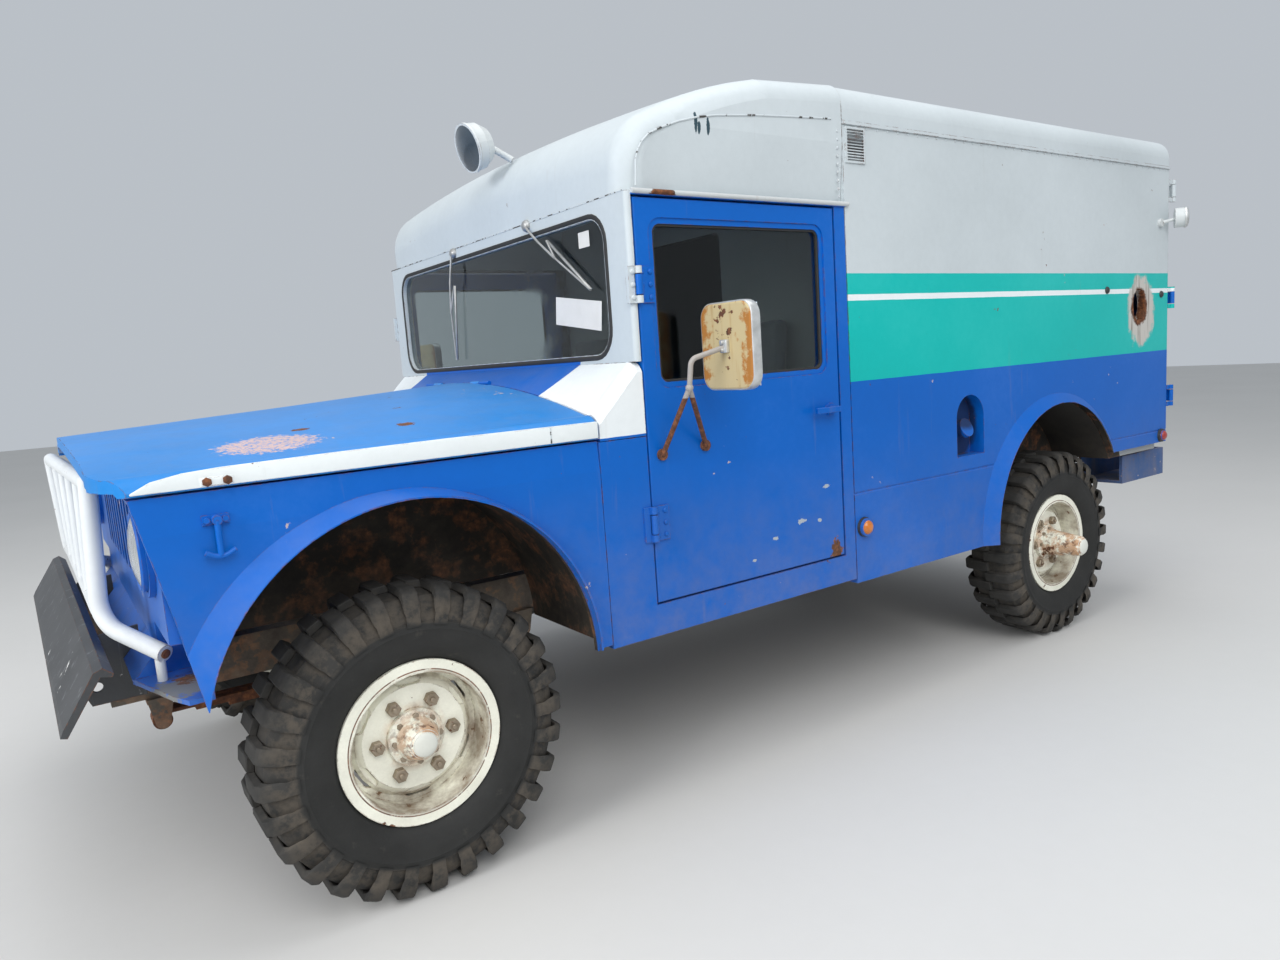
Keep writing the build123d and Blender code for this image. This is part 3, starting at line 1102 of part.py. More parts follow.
def rear_door():
    x1 = BODY_REAR_X - DOOR_GAP
    x0 = x1 - REAR_DOOR_METAL
    outer_y = HALF_WIDTH - REAR_DOOR_EDGE
    leaf = block(x0, x1, DOOR_GAP / 2, outer_y, REAR_DOOR_BOTTOM, REAR_DOOR_TOP)
    leaf = fillet(leaf.edges().filter_by(Axis.X), 14)
    width, height = REAR_WINDOW
    middle = outer_y / 2
    z0 = REAR_WINDOW_Z - height / 2
    z1 = REAR_WINDOW_Z + height / 2
    leaf -= cross_window(middle, width, z0, z1, 40, x0 - 1, x1 + 1)
    leaf -= cross_window(middle, width + 32, z0 - 16, z1 + 16, 56, x0 - 1, x0 + 5)
    for z in (REAR_DOOR_BOTTOM + 250, REAR_DOOR_TOP - 120):
        leaf -= cross_window(middle, outer_y - 160, z - 40, z + 40, 30, x0 - 1, x0 + 4)
    hinge_x, hinge_y = REAR_HINGE
    for z in REAR_HINGE_Z:
        leaf += upright_pin(hinge_x, hinge_y, HINGE_RADIUS, z - KNUCKLE_HALF, z + KNUCKLE_HALF)
        leaf += block(hinge_x - 5, hinge_x + 5, outer_y - 90, hinge_y, z - KNUCKLE_HALF, z + KNUCKLE_HALF)
    return leaf


def rear_handle():
    # the turning handle on the left rear door, which closes over the right one
    x0 = BODY_REAR_X - DOOR_GAP - REAR_DOOR_METAL
    z = (REAR_DOOR_BOTTOM + REAR_DOOR_TOP) / 2 - 180
    return long_pin(70, z, 26, x0 - 14, x0 + 1) + long_pin(70, z, 12, x0 - 42, x0) + block(
        x0 - 46, x0 - 32, 56, 84, z - 110, z + 16)


def rear_door_glass():
    x1 = BODY_REAR_X - DOOR_GAP - 16
    width, height = REAR_WINDOW
    return cross_window((HALF_WIDTH - REAR_DOOR_EDGE) / 2, width, REAR_WINDOW_Z - height / 2,
                        REAR_WINDOW_Z + height / 2, 40,
                        x1 - GLASS_METAL, x1)


def door():
    # the left cab door with its window, hinge halves and handle
    y0 = HALF_WIDTH - DOOR_METAL
    leaf = block(DOOR_REAR_X, DOOR_FRONT_X, y0, HALF_WIDTH, DOOR_BOTTOM_Z, DOOR_TOP_Z)
    outer_edges = [e for e in leaf.edges() if abs(e.center().Y - HALF_WIDTH) < 0.1]
    leaf = fillet(outer_edges, DOOR_EDGE)
    leaf -= rounded_window(WINDOW_REAR_X, WINDOW_FRONT_X, WINDOW_BOTTOM_Z, WINDOW_TOP_Z, WINDOW_CORNER,
                           y0 - 1, HALF_WIDTH + 1)
    wide, deep = WINDOW_REBATE
    leaf -= rounded_window(WINDOW_REAR_X - wide, WINDOW_FRONT_X + wide, WINDOW_BOTTOM_Z - wide,
                           WINDOW_TOP_Z + wide,
                           WINDOW_CORNER + wide, HALF_WIDTH - deep, HALF_WIDTH + 1)
    x, y = DOOR_HINGE
    for z in DOOR_HINGE_Z:
        leaf += block(x - LEAF_WIDTH, x - 16, HALF_WIDTH - 1, HALF_WIDTH + LEAF_THICK, z - HINGE_HALF,
                      z + HINGE_HALF)
        leaf += block(x - 17, x, HALF_WIDTH - 4, y, z - KNUCKLE_HALF, z + KNUCKLE_HALF)
        leaf += upright_pin(x, y, HINGE_RADIUS, z - KNUCKLE_HALF, z + KNUCKLE_HALF)
    handle_x = DOOR_REAR_X + 53
    handle_z = WINDOW_BOTTOM_Z - 147
    leaf += cross_pin(handle_x, handle_z, 22, HALF_WIDTH - 1, HALF_WIDTH + 10)
    leaf += cross_pin(handle_x, handle_z, 12, HALF_WIDTH, HALF_WIDTH + 34)
    lever = fillet(block(handle_x - 18, handle_x + 100, HALF_WIDTH + 26, HALF_WIDTH + 40, handle_z - 11,
                         handle_z + 11).edges(), 4)
    return leaf + lever


def upper_hinge_leaf():
    # the fixed half of the upper door hinge, on the pillar beside the windscreen
    return hinge_leaf(DOOR_HINGE_Z[1])


def door_glass():
    middle = HALF_WIDTH - DOOR_METAL / 2
    return rounded_window(WINDOW_REAR_X, WINDOW_FRONT_X, WINDOW_BOTTOM_Z, WINDOW_TOP_Z, WINDOW_CORNER,
                          middle - GLASS_METAL / 2, middle + GLASS_METAL / 2)


def mirror():
    # the left mirror: a V bracket on the door, a bent arm and the head
    wide, tall, deep = MIRROR_SIZE
    plane = Plane(origin=(MIRROR_X - deep / 2, MIRROR_Y, MIRROR_Z), x_dir=(0, 1, 0), z_dir=(1, 0, 0))
    bracket = extrude(plane * RectangleRounded(wide, tall, 45), amount=deep)
    bracket = fillet(bracket.edges().group_by(Axis.X)[-1], 9)
    for foot_x, foot_z in MIRROR_FEET:
        bracket += shaft_between((foot_x, HALF_WIDTH + 8, foot_z), MIRROR_APEX, MIRROR_ROD)
        bracket += cross_pin(foot_x, foot_z, 18, HALF_WIDTH, HALF_WIDTH + 10)
    bracket += Pos(*MIRROR_APEX) * Sphere(12)
    elbow = (MIRROR_APEX[0], MIRROR_APEX[1] + 15, MIRROR_APEX[2] + 84)
    bracket += bent_tube([MIRROR_APEX, elbow, (MIRROR_X + 10, MIRROR_Y, MIRROR_Z)], MIRROR_ROD, 25)
    return bracket


# Inside the cab
def seats():
    pieces = []
    for side in (1, -1):
        y0 = side * SEAT_Y - SEAT_WIDTH / 2
        cushion = block(SEAT_REAR_X, SEAT_FRONT_X, y0, y0 + SEAT_WIDTH, SEAT_BOX_Z + SEAT_GAP,
                        SEAT_BOX_Z + 130)
        cushion = fillet(cushion.edges().filter_by(Axis.X) + cushion.edges().filter_by(Axis.Y), 28)
        back = Box(100, SEAT_WIDTH, 600)
        back = fillet(back.edges().filter_by(Axis.X) + back.edges().filter_by(Axis.Y), 30)
        pieces.append(cushion + Pos(SEAT_REAR_X - 22, side * SEAT_Y, SEAT_BOX_Z + 380) * Rot(0, -6, 0) * back)
    return pieces


def dashboard():
    y = HALF_WIDTH - DOOR_METAL - DOOR_GAP - 4
    back = FIREWALL_X - 24
    dash = side_plate([(back, 759), (back, 709), (-860, 739), (-870, 889), (-800, 949), (-700, 859)], -y, y)
    return dash - shaft_between(COLUMN_TOP, column_end(), COLUMN_RADIUS + 3)


def column_direction():
    return Vector(cos(radians(COLUMN_TILT)), 0, -sin(radians(COLUMN_TILT)))


def column_end():
    return tuple(Vector(*COLUMN_TOP) + column_direction() * COLUMN_LENGTH)


def steering_wheel():
    plane = Plane(origin=COLUMN_TOP, x_dir=(0, 1, 0), z_dir=-column_direction())
    ring = plane * Torus(STEERING_WHEEL_RADIUS, 13)
    hub = plane * Cylinder(36, 40)
    spokes = [plane * Rot(0, 0, angle) * Pos(STEERING_WHEEL_RADIUS / 2, 0, 0)
              * Box(STEERING_WHEEL_RADIUS, 22, 12)
              for angle in (90, 210, 330)]
    return ring + hub + spokes + shaft_between(COLUMN_TOP, column_end(), COLUMN_RADIUS)


def bumperettes():
    # two open boxes under the tail, each on an arm from the frame
    pieces = []
    rear = REAR_AXLE - REAR_OVERHANG
    for side in (1, -1):
        post = block(rear, rear + 442, side * 700, side * 930, 199, 343)
        post -= block(rear + 22, rear + 460, side * 715, side * 915, 214, 349)
        arm = block(RAIL_REAR + 80, RAIL_REAR + 200, side * (RAIL_OUTER_Y + SEAT_GAP), side * 705, 249, 259)
        arm += block(RAIL_REAR + 80, RAIL_REAR + 90, side * (RAIL_OUTER_Y + SEAT_GAP), side * 705, 219, 259)
        pieces.append(post + arm)
    return pieces


def wipers():
    # two wipers hung from above the windscreen
    pieces = []
    pivot_z = SCREEN_TOP_Z + 12
    for y in (330, -330):
        post = long_pin(y, pivot_z, 12, SCREEN_X, SCREEN_X + 20)
        arm = shaft_between((SCREEN_X + 14, y, pivot_z), (SCREEN_X + 14, y, 1239), 6)
        blade = block(SCREEN_X + 8, SCREEN_X + 16, y - 5, y + 5, 1079, 1359)
        pieces.append(arm + post + blade)
    return pieces


def save(name, shape):
    if isinstance(shape, (list, tuple)):
        shape = Compound(children=list(shape))
    export_step(Pos(FRONT_AXLE_X, 0, TYRE_RADIUS) * shape, f"parts/{name}.step")


def both(shape):
    return [shape, mirrored(shape)]


def main():
    os.makedirs("parts", exist_ok=True)
    tread = tyre()
    rims = {"front": rim(FRONT_HUB_REACH), "rear": rim(HUB_HALF_WIDTH - RIM_FACE_Y)}
    for end, x in (("front", 0), ("rear", REAR_AXLE)):
        for name, side in (("left", 1), ("right", -1)):
            save(f"tyre_{end}_{name}", at_wheel(tread, x, side))
            save(f"rim_{end}_{name}", at_wheel(rims[end], x, side))
    rear_leaf = rear_door()
    for piece, left, right in (
            ("knuckle", knuckle(), None), ("door", door(), None), ("door_glass", door_glass(),
                                                                   None), ("mirror", mirror(), None),
            ("rear_door", rear_leaf + rear_handle(), rear_leaf), ("rear_door_glass", rear_door_glass(),
                                                                  None)):
        save(f"{piece}_left", left)
        save(f"{piece}_right", mirrored(right or left))
    save("tie_rod", tie_rod())
    save("leaf_springs", [spring for row in SPRINGS for spring in both(leaf_spring(*row))])
    save("frame_rails", frame_rails())
    save("crossmembers", crossmembers())
    save("front_axle", front_axle())
    save("rear_axle", rear_axle())
    save("engine", engine())
    save("driveline", driveline())
    save("exhaust", exhaust())
    save("fuel_tank", fuel_tank())
    save("front_bumper", front_bumper())
    save("brush_guard", brush_guard())
    save("front_panel", front_panel())
    save("lamps", lamps())
    save("hood", hood())
    save("fenders", both(fender()))
    save("cowl", cowl())
    frame = windscreen_frame()
    for leaf in both(upper_hinge_leaf()):
        frame += leaf
    save("windscreen_frame", frame)
    save("windscreen", windscreen())
    save("cab_sides", both(cab_side()))
    save("cab_floor", cab_floor())
    save("cab_roof", cab_roof())
    save("rear_roof", rear_roof())
    save("body_sides", [left_body_side(), mirrored(body_side())])
    save("rear_frame", rear_frame())
    save("load_floor", load_floor())
    save("seats", seats())
    save("dashboard", dashboard())
    save("steering_wheel", steering_wheel())
    save("bumperettes", bumperettes())
    save("wipers", wipers())


main()
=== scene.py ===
import bpy
from math import pi, radians
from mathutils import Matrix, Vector


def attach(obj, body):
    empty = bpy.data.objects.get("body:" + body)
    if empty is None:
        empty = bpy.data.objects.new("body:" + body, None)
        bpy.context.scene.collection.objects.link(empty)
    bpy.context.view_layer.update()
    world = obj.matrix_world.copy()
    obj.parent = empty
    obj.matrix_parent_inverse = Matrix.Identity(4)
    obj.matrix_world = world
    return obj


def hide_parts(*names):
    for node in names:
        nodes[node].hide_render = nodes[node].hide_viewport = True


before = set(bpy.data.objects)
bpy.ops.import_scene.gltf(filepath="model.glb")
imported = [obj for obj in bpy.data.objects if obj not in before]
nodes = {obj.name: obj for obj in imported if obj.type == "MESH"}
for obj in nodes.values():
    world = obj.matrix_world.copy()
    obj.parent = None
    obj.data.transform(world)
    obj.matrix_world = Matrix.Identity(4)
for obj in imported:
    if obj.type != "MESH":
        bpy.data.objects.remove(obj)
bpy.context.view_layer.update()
scene = bpy.context.scene
scene.view_settings.view_transform = "Standard"

# Places on the truck, in metres from the ground under its middle
HUB_HEIGHT = 0.441
WHEEL_OUT = 0.851
WHEELBASE = 3.2
FRONT_AXLE = Vector((1.7245, 0.0, HUB_HEIGHT))
REAR_AXLE = Vector((-1.4755, 0.0, HUB_HEIGHT))


# Shader node groups shared by the finishes
def new_group(name, inputs, outputs=(("Mask", "Float"),)):
    # each input takes its kind from its value: a number, a place or a colour
    tree = bpy.data.node_groups.new(name, "ShaderNodeTree")
    for label, value in inputs.items():
        kind = "Float" if isinstance(value, float) else ("Vector" if len(value) == 3 else "Color")
        socket = tree.interface.new_socket(label, in_out="INPUT", socket_type="NodeSocket" + kind)
        socket.default_value = value
    for label, kind in outputs:
        tree.interface.new_socket(label, in_out="OUTPUT", socket_type="NodeSocket" + kind)
    return tree, tree.nodes.new("NodeGroupInput").outputs, tree.nodes.new("NodeGroupOutput").inputs


def add_node(tree, kind, **settings):
    node = tree.nodes.new("ShaderNode" + kind)
    for key, value in settings.items():
        setattr(node, key, value)
    return node


def join(tree, source, target):
    # links a socket to another one, or sets a plain number, place or colour on it
    if isinstance(source, (int, float, Vector)):
        target.default_value = source
    elif isinstance(source, tuple):
        target.default_value = (*source, 1.0) if target.type == "RGBA" else source
    else:
        tree.links.new(source, target)


def calc(tree, operation, first, second=None, clamp=False):
    node = add_node(tree, "Math", operation=operation, use_clamp=clamp)
    join(tree, first, node.inputs[0])
    if second is not None:
        join(tree, second, node.inputs[1])
    return node.outputs[0]


def plus(tree, first, second):
    return calc(tree, "ADD", first, second)


def minus(tree, first, second):
    return calc(tree, "SUBTRACT", first, second)


def times(tree, first, second):
    return calc(tree, "MULTIPLY", first, second)


def above(tree, value, limit):
    return calc(tree, "GREATER_THAN", value, limit)


def below(tree, value, limit):
    return calc(tree, "LESS_THAN", value, limit)


def place(tree):
    return add_node(tree, "TexCoord").outputs["Object"]


def normal(tree):
    return add_node(tree, "NewGeometry").outputs["Normal"]


def apart(tree, vector):
    # the three parts of a place or a direction
    node = add_node(tree, "SeparateXYZ")
    join(tree, vector, node.inputs["Vector"])
    return node.outputs["X"], node.outputs["Y"], node.outputs["Z"]


def vector_calc(tree, operation, first, second):
    node = add_node(tree, "VectorMath", operation=operation)
    join(tree, first, node.inputs[0])
    join(tree, second, node.inputs[1])
    return node.outputs["Value" if operation == "DOT_PRODUCT" else "Vector"]


def noise(tree, scale, detail=4.0, rough=0.55, at=None):
    node = add_node(tree, "TexNoise")
    at = place(tree) if at is None else at
    for socket, value in (("Scale", scale), ("Detail", detail), ("Roughness", rough), ("Vector", at)):
        join(tree, value, node.inputs[socket])
    return node.outputs["Fac"]


def steps(tree, value, low, high):
    # rises from 0 at the low value to 1 at the high one, which may be the smaller of the two
    node = add_node(tree, "MapRange")
    for socket, amount in (("Value", value), ("From Min", low), ("From Max", high)):
        join(tree, amount, node.inputs[socket])
    return node.outputs["Result"]


# Numbers of a Mix node's sockets: its two values and its result
MIX_SOCKETS = {"RGBA": (6, 7, 2), "FLOAT": (2, 3, 0)}


def blend(tree, kind, factor, first, second):
    node = add_node(tree, "Mix", data_type=kind)
    first_socket, second_socket, result = MIX_SOCKETS[kind]
    join(tree, factor, node.inputs["Factor"])
    join(tree, first, node.inputs[first_socket])
    join(tree, second, node.inputs[second_socket])
    return node.outputs[result]


def faded_group():
    # paint that is lighter and darker in clouds and fine mottling
    tree, given, made = new_group(
        "Faded Paint", {"Color": (0.5, 0.5, 0.5, 1.0), "Amount": 0.2, "Scale": 2.0}, (("Color", "Color"),))
    clouds = noise(tree, given["Scale"], 3.0)
    fine = noise(tree, times(tree, given["Scale"], 22.0), 6.0, 0.7)
    both = plus(tree, times(tree, clouds, 0.7), times(tree, fine, 0.3))
    shift = times(tree, minus(tree, both, 0.5), times(tree, given["Amount"], 3.0))
    hue = add_node(tree, "HueSaturation")
    join(tree, given["Color"], hue.inputs["Color"])
    join(tree, plus(tree, shift, 1.0), hue.inputs["Value"])
    join(tree, minus(tree, 1.0, times(tree, shift, 0.4)), hue.inputs["Saturation"])
    join(tree, hue.outputs["Color"], made["Color"])
    return tree


def flake_group():
    # flakes and specks where the paint has gone, Share is how much of the surface
    tree, given, made = new_group("Flakes", {"Scale": 20.0, "Share": 0.1, "Clumps": 2.0})
    fine = noise(tree, given["Scale"], 8.0, 0.62)
    clumps = noise(tree, given["Clumps"], 2.0)
    value = plus(tree, times(tree, fine, 0.6), times(tree, clumps, 0.4))
    limit = minus(tree, 0.68, times(tree, given["Share"], 0.3))
    join(tree, steps(tree, value, limit, plus(tree, limit, 0.012)), made["Mask"])
    return tree


def edge_group():
    # bare and dirty edges, ragged by noise
    tree, given, made = new_group("Worn Edges", {"Radius": 0.005, "Ragged": 30.0})
    bevel = add_node(tree, "Bevel", samples=4)
    join(tree, given["Radius"], bevel.inputs["Radius"])
    bend = steps(tree, vector_calc(tree, "DOT_PRODUCT", bevel.outputs["Normal"], normal(tree)), 0.995, 0.86)
    ragged = steps(tree, noise(tree, given["Ragged"], 6.0, 0.65), 0.46, 0.58)
    join(tree, times(tree, bend, ragged), made["Mask"])
    return tree


def streak_group():
    # dirt that has run down upright faces
    tree, given, made = new_group("Run Down Dirt", {"Scale": 18.0, "Share": 0.3})
    drawn = add_node(tree, "Mapping")
    join(tree, (1.0, 1.0, 0.07), drawn.inputs["Scale"])
    join(tree, place(tree), drawn.inputs["Vector"])
    runs = noise(tree, given["Scale"], 5.0, 0.6, drawn.outputs["Vector"])
    limit = minus(tree, 0.72, times(tree, given["Share"], 0.3))
    join(tree, steps(tree, runs, limit, plus(tree, limit, 0.2)), made["Mask"])
    return tree


def dust_group():
    # road dust, thickest low down and on faces that look up
    tree, given, made = new_group("Road Dust", {"Top": 1.0, "Amount": 0.5})
    low = steps(tree, apart(tree, place(tree))[2], given["Top"], 0.2)
    upward = steps(tree, apart(tree, normal(tree))[2], 0.2, 1.0)
    grain = steps(tree, noise(tree, 9.0, 8.0, 0.7), 0.3, 0.72)
    heap = times(tree, plus(tree, low, times(tree, upward, 0.35)), grain)
    join(tree, calc(tree, "MULTIPLY", heap, given["Amount"], clamp=True), made["Mask"])
    return tree


def band_group():
    # a painted band between two heights, its masked edge a little uneven
    tree, given, made = new_group("Painted Band", {"Low": 1.0, "High": 1.2, "Uneven": 0.002})
    wobble = times(tree, minus(tree, noise(tree, 14.0, 3.0), 0.5), given["Uneven"])
    height = plus(tree, apart(tree, place(tree))[2], wobble)
    within = times(tree, above(tree, height, given["Low"]), below(tree, height, given["High"]))
    join(tree, within, made["Mask"])
    return tree


def patch_group():
    # one ragged patch round a place on the truck
    tree, given, made = new_group(
        "Ragged Patch", {"Centre": (0.0, 0.0, 0.0), "Size": (0.1, 0.1, 0.1), "Ragged": 0.6, "Grain": 25.0})
    offset = vector_calc(tree, "SUBTRACT", place(tree), given["Centre"])
    reach = add_node(tree, "VectorMath", operation="LENGTH")
    join(tree, vector_calc(tree, "DIVIDE", offset, given["Size"]), reach.inputs[0])
    ragged = minus(tree, noise(tree, given["Grain"], 8.0, 0.68), 0.5)
    distance = plus(tree, reach.outputs["Value"], times(tree, ragged, times(tree, given["Ragged"], 4.0)))
    join(tree, steps(tree, distance, 1.0, 0.86), made["Mask"])
    return tree


def rust_group():
    # the colours of rusted steel
    tree, given, made = new_group("Rusted Steel", {"Scale": 30.0}, (("Color", "Color"),))
    ramp = add_node(tree, "ValToRGB")
    dark, light = ramp.color_ramp.elements
    dark.position = 0.3
    dark.color = (0.035, 0.018, 0.012, 1.0)
    light.position = 0.72
    light.color = (0.36, 0.13, 0.045, 1.0)
    ramp.color_ramp.elements.new(0.5).color = (0.13, 0.048, 0.022, 1.0)
    join(tree, noise(tree, given["Scale"], 9.0, 0.7), ramp.inputs["Fac"])
    join(tree, ramp.outputs["Color"], made["Color"])
    return tree


def turn_group():
    # distance from a wheel's axis and outwards from the truck's middle
    tree, given, made = new_group(
        "From Wheel Axis", {"Axis": (0.0, 0.0, 0.0)}, (("Radius", "Float"), ("Out", "Float")))
    x, y, z = apart(tree, vector_calc(tree, "SUBTRACT", place(tree), given["Axis"]))
    square = plus(tree, times(tree, x, x), times(tree, z, z))
    join(tree, calc(tree, "SQRT", square), made["Radius"])
    join(tree, calc(tree, "ABSOLUTE", y), made["Out"])
    return tree


def inside_group():
    # faces that look towards the truck's middle
    tree, given, made = new_group("Inside Faces", {"Limit": 0.3})
    side = calc(tree, "SIGN", apart(tree, place(tree))[1])
    inward = times(tree, side, apart(tree, normal(tree))[1])
    join(tree, below(tree, inward, times(tree, given["Limit"], -1.0)), made["Mask"])
    return tree


FADED = faded_group()
FLAKES = flake_group()
EDGES = edge_group()
STREAKS = streak_group()
DUST = dust_group()
BAND = band_group()
PATCH = patch_group()
RUST = rust_group()
TURN = turn_group()
INSIDE = inside_group()


class Finish:
    # one material: a colour with layers over it, each by its mask
    def __init__(self, name, colour, roughness, metallic=0.0):
        self.material = bpy.data.materials.new(name)
        self.material.use_nodes = True
        self.tree = self.material.node_tree
        self.shader = self.tree.nodes["Principled BSDF"]
        self.shader.inputs["Metallic"].default_value = metallic
        self.colour = colour
        self.roughness = roughness
        self.relief = None

    def group(self, tree, **values):
        node = add_node(self.tree, "Group", node_tree=tree)
        for key, value in values.items():
            join(self.tree, value, node.inputs[key])
        return node.outputs

    def mask(self, tree, **values):
        return self.group(tree, **values)["Mask"]

    def grain(self, *settings):
        return noise(self.tree, *settings)

    def specks(self, scale, share, clumps=2.0):
        return self.mask(FLAKES, Scale=scale, Share=share, Clumps=clumps)

    def patch(self, centre, size, ragged, grain=25.0):
        return self.mask(PATCH, Centre=centre, Size=size, Ragged=ragged, Grain=grain)

    def dusty(self, top, amount, roughness=0.8):
        self.over(self.mask(DUST, Top=top, Amount=amount), DUST_COLOUR, roughness)

    def over(self, mask, colour, roughness=None, share=1.0):
        if share != 1.0:
            mask = times(self.tree, mask, share)
        self.colour = blend(self.tree, "RGBA", mask, self.colour, colour)
        if roughness is not None:
            self.roughness = blend(self.tree, "FLOAT", mask, self.roughness, roughness)

    def fade(self, amount, scale):
        self.colour = self.group(FADED, Color=self.colour, Amount=amount, Scale=scale)["Color"]
        return self

    def rust(self, mask, scale=60.0):
        self.over(mask, self.group(RUST, Scale=scale)["Color"], 0.85)

    def bump(self, height, strength, distance):
        node = add_node(self.tree, "Bump")
        for socket, value in (("Strength", strength), ("Distance", distance), ("Height", height)):
            join(self.tree, value, node.inputs[socket])
        if self.relief is not None:
            join(self.tree, self.relief, node.inputs["Normal"])
        self.relief = node.outputs["Normal"]

    def done(self, **sockets):
        join(self.tree, self.colour, self.shader.inputs["Base Color"])
        join(self.tree, self.roughness, self.shader.inputs["Roughness"])
        if self.relief is not None:
            join(self.tree, self.relief, self.shader.inputs["Normal"])
        for key, value in sockets.items():
            self.shader.inputs[key.replace("_", " ")].default_value = value
        return self.material


# Colours of the paint, the dust and the soot, and the black of painted shade
BLUE = (0.0, 0.115, 0.5)
SUNNED_BLUE = (0.02, 0.225, 0.62)
GREEN = (0.0, 0.47, 0.43)
WHITE = (0.55, 0.6, 0.62)
BRIGHT_WHITE = (0.8, 0.84, 0.85)
CREAM = (0.92, 0.91, 0.78)
PRIMER = (0.5, 0.42, 0.42)
PALE_GREY = (0.62, 0.65, 0.65)
# a black painted as shade on faces inside the fenders and on faces under the load floor
PAINTED_SHADE_BLACK = (0.03, 0.028, 0.026)
DUST_COLOUR = (0.28, 0.22, 0.16)
SOOT = (0.03, 0.028, 0.025)

# Heights where the painted bands begin and end, in metres above the ground
STRIPE_LOW = 1.316
STRIPE_TOP = 1.708
LINE_LOW = 1.610
LINE_TOP = 1.632
CAB_WHITE_LOW = 1.944
COWL_WHITE_LOW = 1.223
FRAME_BLUE_TOP = 1.472
SPOTLIGHT_LOW = 1.9
OVER_ALL = 9.0


# Places and reaches of the wheel arches, in metres
FRONT_ARCH = (FRONT_AXLE.x - 0.009, 0.0, 0.586)
REAR_ARCH = (REAR_AXLE.x + 0.075, 0.0, 0.577)
FRONT_ARCH_RADIUS = 0.603
REAR_ARCH_RADIUS = 0.62
WHEEL_BOX_RADIUS = 0.66
SKIN_OUT = 1.003

# Edges of the vent behind the cab and the height from slat to slat
VENT_REAR = (-0.0995, -0.0985)
VENT_FRONT = (-0.0105, -0.0115)
VENT_LOW = 2.103
VENT_TOP = 2.212
SLAT_PITCH = 0.0104


def painted(name, colour, roughness, flakes, dust=0.5, streaks=0.25, bands=(), before=None):
    coat = Finish(name, colour, roughness)
    for low, high, other in bands:
        coat.over(coat.mask(BAND, Low=low, High=high), other)
    coat.fade(0.12, 1.7)
    coat.over(coat.mask(STREAKS, Share=streaks), DUST_COLOUR, 0.6, 0.3)
    coat.over(coat.specks(26.0, flakes, 3.0), PRIMER, 0.6)
    if before:
        before(coat)
    coat.rust(coat.mask(EDGES, Radius=0.004), 90.0)
    coat.rust(coat.specks(46.0, flakes * 0.7, 5.0), 90.0)
    coat.dusty(1.1, dust)
    coat.bump(coat.grain(3.0, 2.0), 0.25, 0.006)
    coat.bump(coat.grain(260.0, 2.0), 0.05, 0.001)
    return coat.done(Coat_Weight=0.03, Coat_Roughness=0.2, Specular_IOR_Level=0.25)


def arch_shade_and_dirt(coat, centre, radius):
    # painted shade that darkens the metal inside a wheel arch, with rust and dust on it
    about = coat.group(TURN, Axis=centre)
    tree = coat.tree
    near = below(tree, about["Radius"], radius)
    within = times(tree, near, below(tree, about["Out"], SKIN_OUT))
    # painted shade: near black over everything inside the arch
    coat.over(within, (0.022, 0.02, 0.018), 0.9)
    grain = steps(tree, noise(tree, 9.0, 8.0, 0.7), 0.5, 0.62)
    coat.rust(times(tree, within, grain), 40.0)
    dusty = steps(tree, noise(tree, 5.0, 8.0, 0.7), 0.46, 0.75)
    coat.over(times(tree, within, dusty), (0.1, 0.08, 0.06), 0.95, 0.6)


def fender_shade_and_marks(coat):
    # painted shade on the faces inside the fender that look towards the truck's middle, then the arch's
    # shade, rust and dust and a rust patch
    coat.over(coat.mask(INSIDE), PAINTED_SHADE_BLACK, 0.85)
    arch_shade_and_dirt(coat, FRONT_ARCH, FRONT_ARCH_RADIUS)
    coat.rust(coat.patch((1.30, 1.02, 0.60), (0.11, 0.09, 0.14), 0.3, 30.0), 50.0)


def apron_marks(coat):
    # bare, oily metal and flaking paint on the toe plates beside the bumper's brackets
    for side in (1.0, -1.0):
        toe = coat.patch((2.28, 0.86 * side, 0.70), (0.1, 0.11, 0.06), 0.45, 24.0)
        coat.over(toe, (0.2, 0.2, 0.15), 0.7, 0.85)
        coat.rust(coat.patch((2.25, 0.8 * side, 0.7), (0.05, 0.06, 0.05), 0.5, 40.0))


def blue_middle(coat, top):
    # the blue left showing below the windscreen between the white corner panels
    tree = coat.tree
    y, z = apart(tree, place(tree))[1:]
    across = calc(tree, "ABSOLUTE", y)
    lean = times(tree, minus(tree, z, 1.4), 0.35)
    middle = below(tree, across, plus(tree, lean, 0.665))
    low = below(tree, z, top)
    coat.over(times(tree, middle, low), BLUE, 0.4)


def cowl_marks(coat):
    blue_middle(coat, OVER_ALL)


def frame_marks(coat):
    blue_middle(coat, FRAME_BLUE_TOP)


def roof_marks(coat):
    # dark drips below the roof's edge and the stains of old sealant
    for x, z, long in ((0.675, 2.17, 0.034), (0.662, 2.155, 0.02), (0.625, 2.16, 0.03)):
        coat.over(coat.patch((x, 1.0, z), (0.007, 0.06, long), 0.35, 40.0), (0.035, 0.07, 0.09), 0.5)


def door_marks(coat):
    # chips and scratches low on the doors, down to bare metal
    for x, z, long in ((0.29, 0.84, 0.02), (0.20, 0.83, 0.012), (0.42, 0.80, 0.012), (0.155, 0.95, 0.016),
                       (0.52, 0.74, 0.01)):
        coat.over(coat.patch((x, 1.0, z), (long, 0.06, long * 0.5), 0.9, 80.0), (0.4, 0.45, 0.5), 0.5)
    coat.rust(coat.patch((0.115, 1.0, 0.70), (0.03, 0.06, 0.05), 0.7, 50.0))


def drip_marks(coat):
    coat.rust(coat.patch((0.83, 1.01, 1.95), (0.05, 0.05, 0.03), 0.5, 40.0))


def inner_painted_shade(coat):
    # painted shade on the faces that look towards the truck's middle
    coat.over(coat.mask(INSIDE), (0.05, 0.05, 0.052), 0.8)


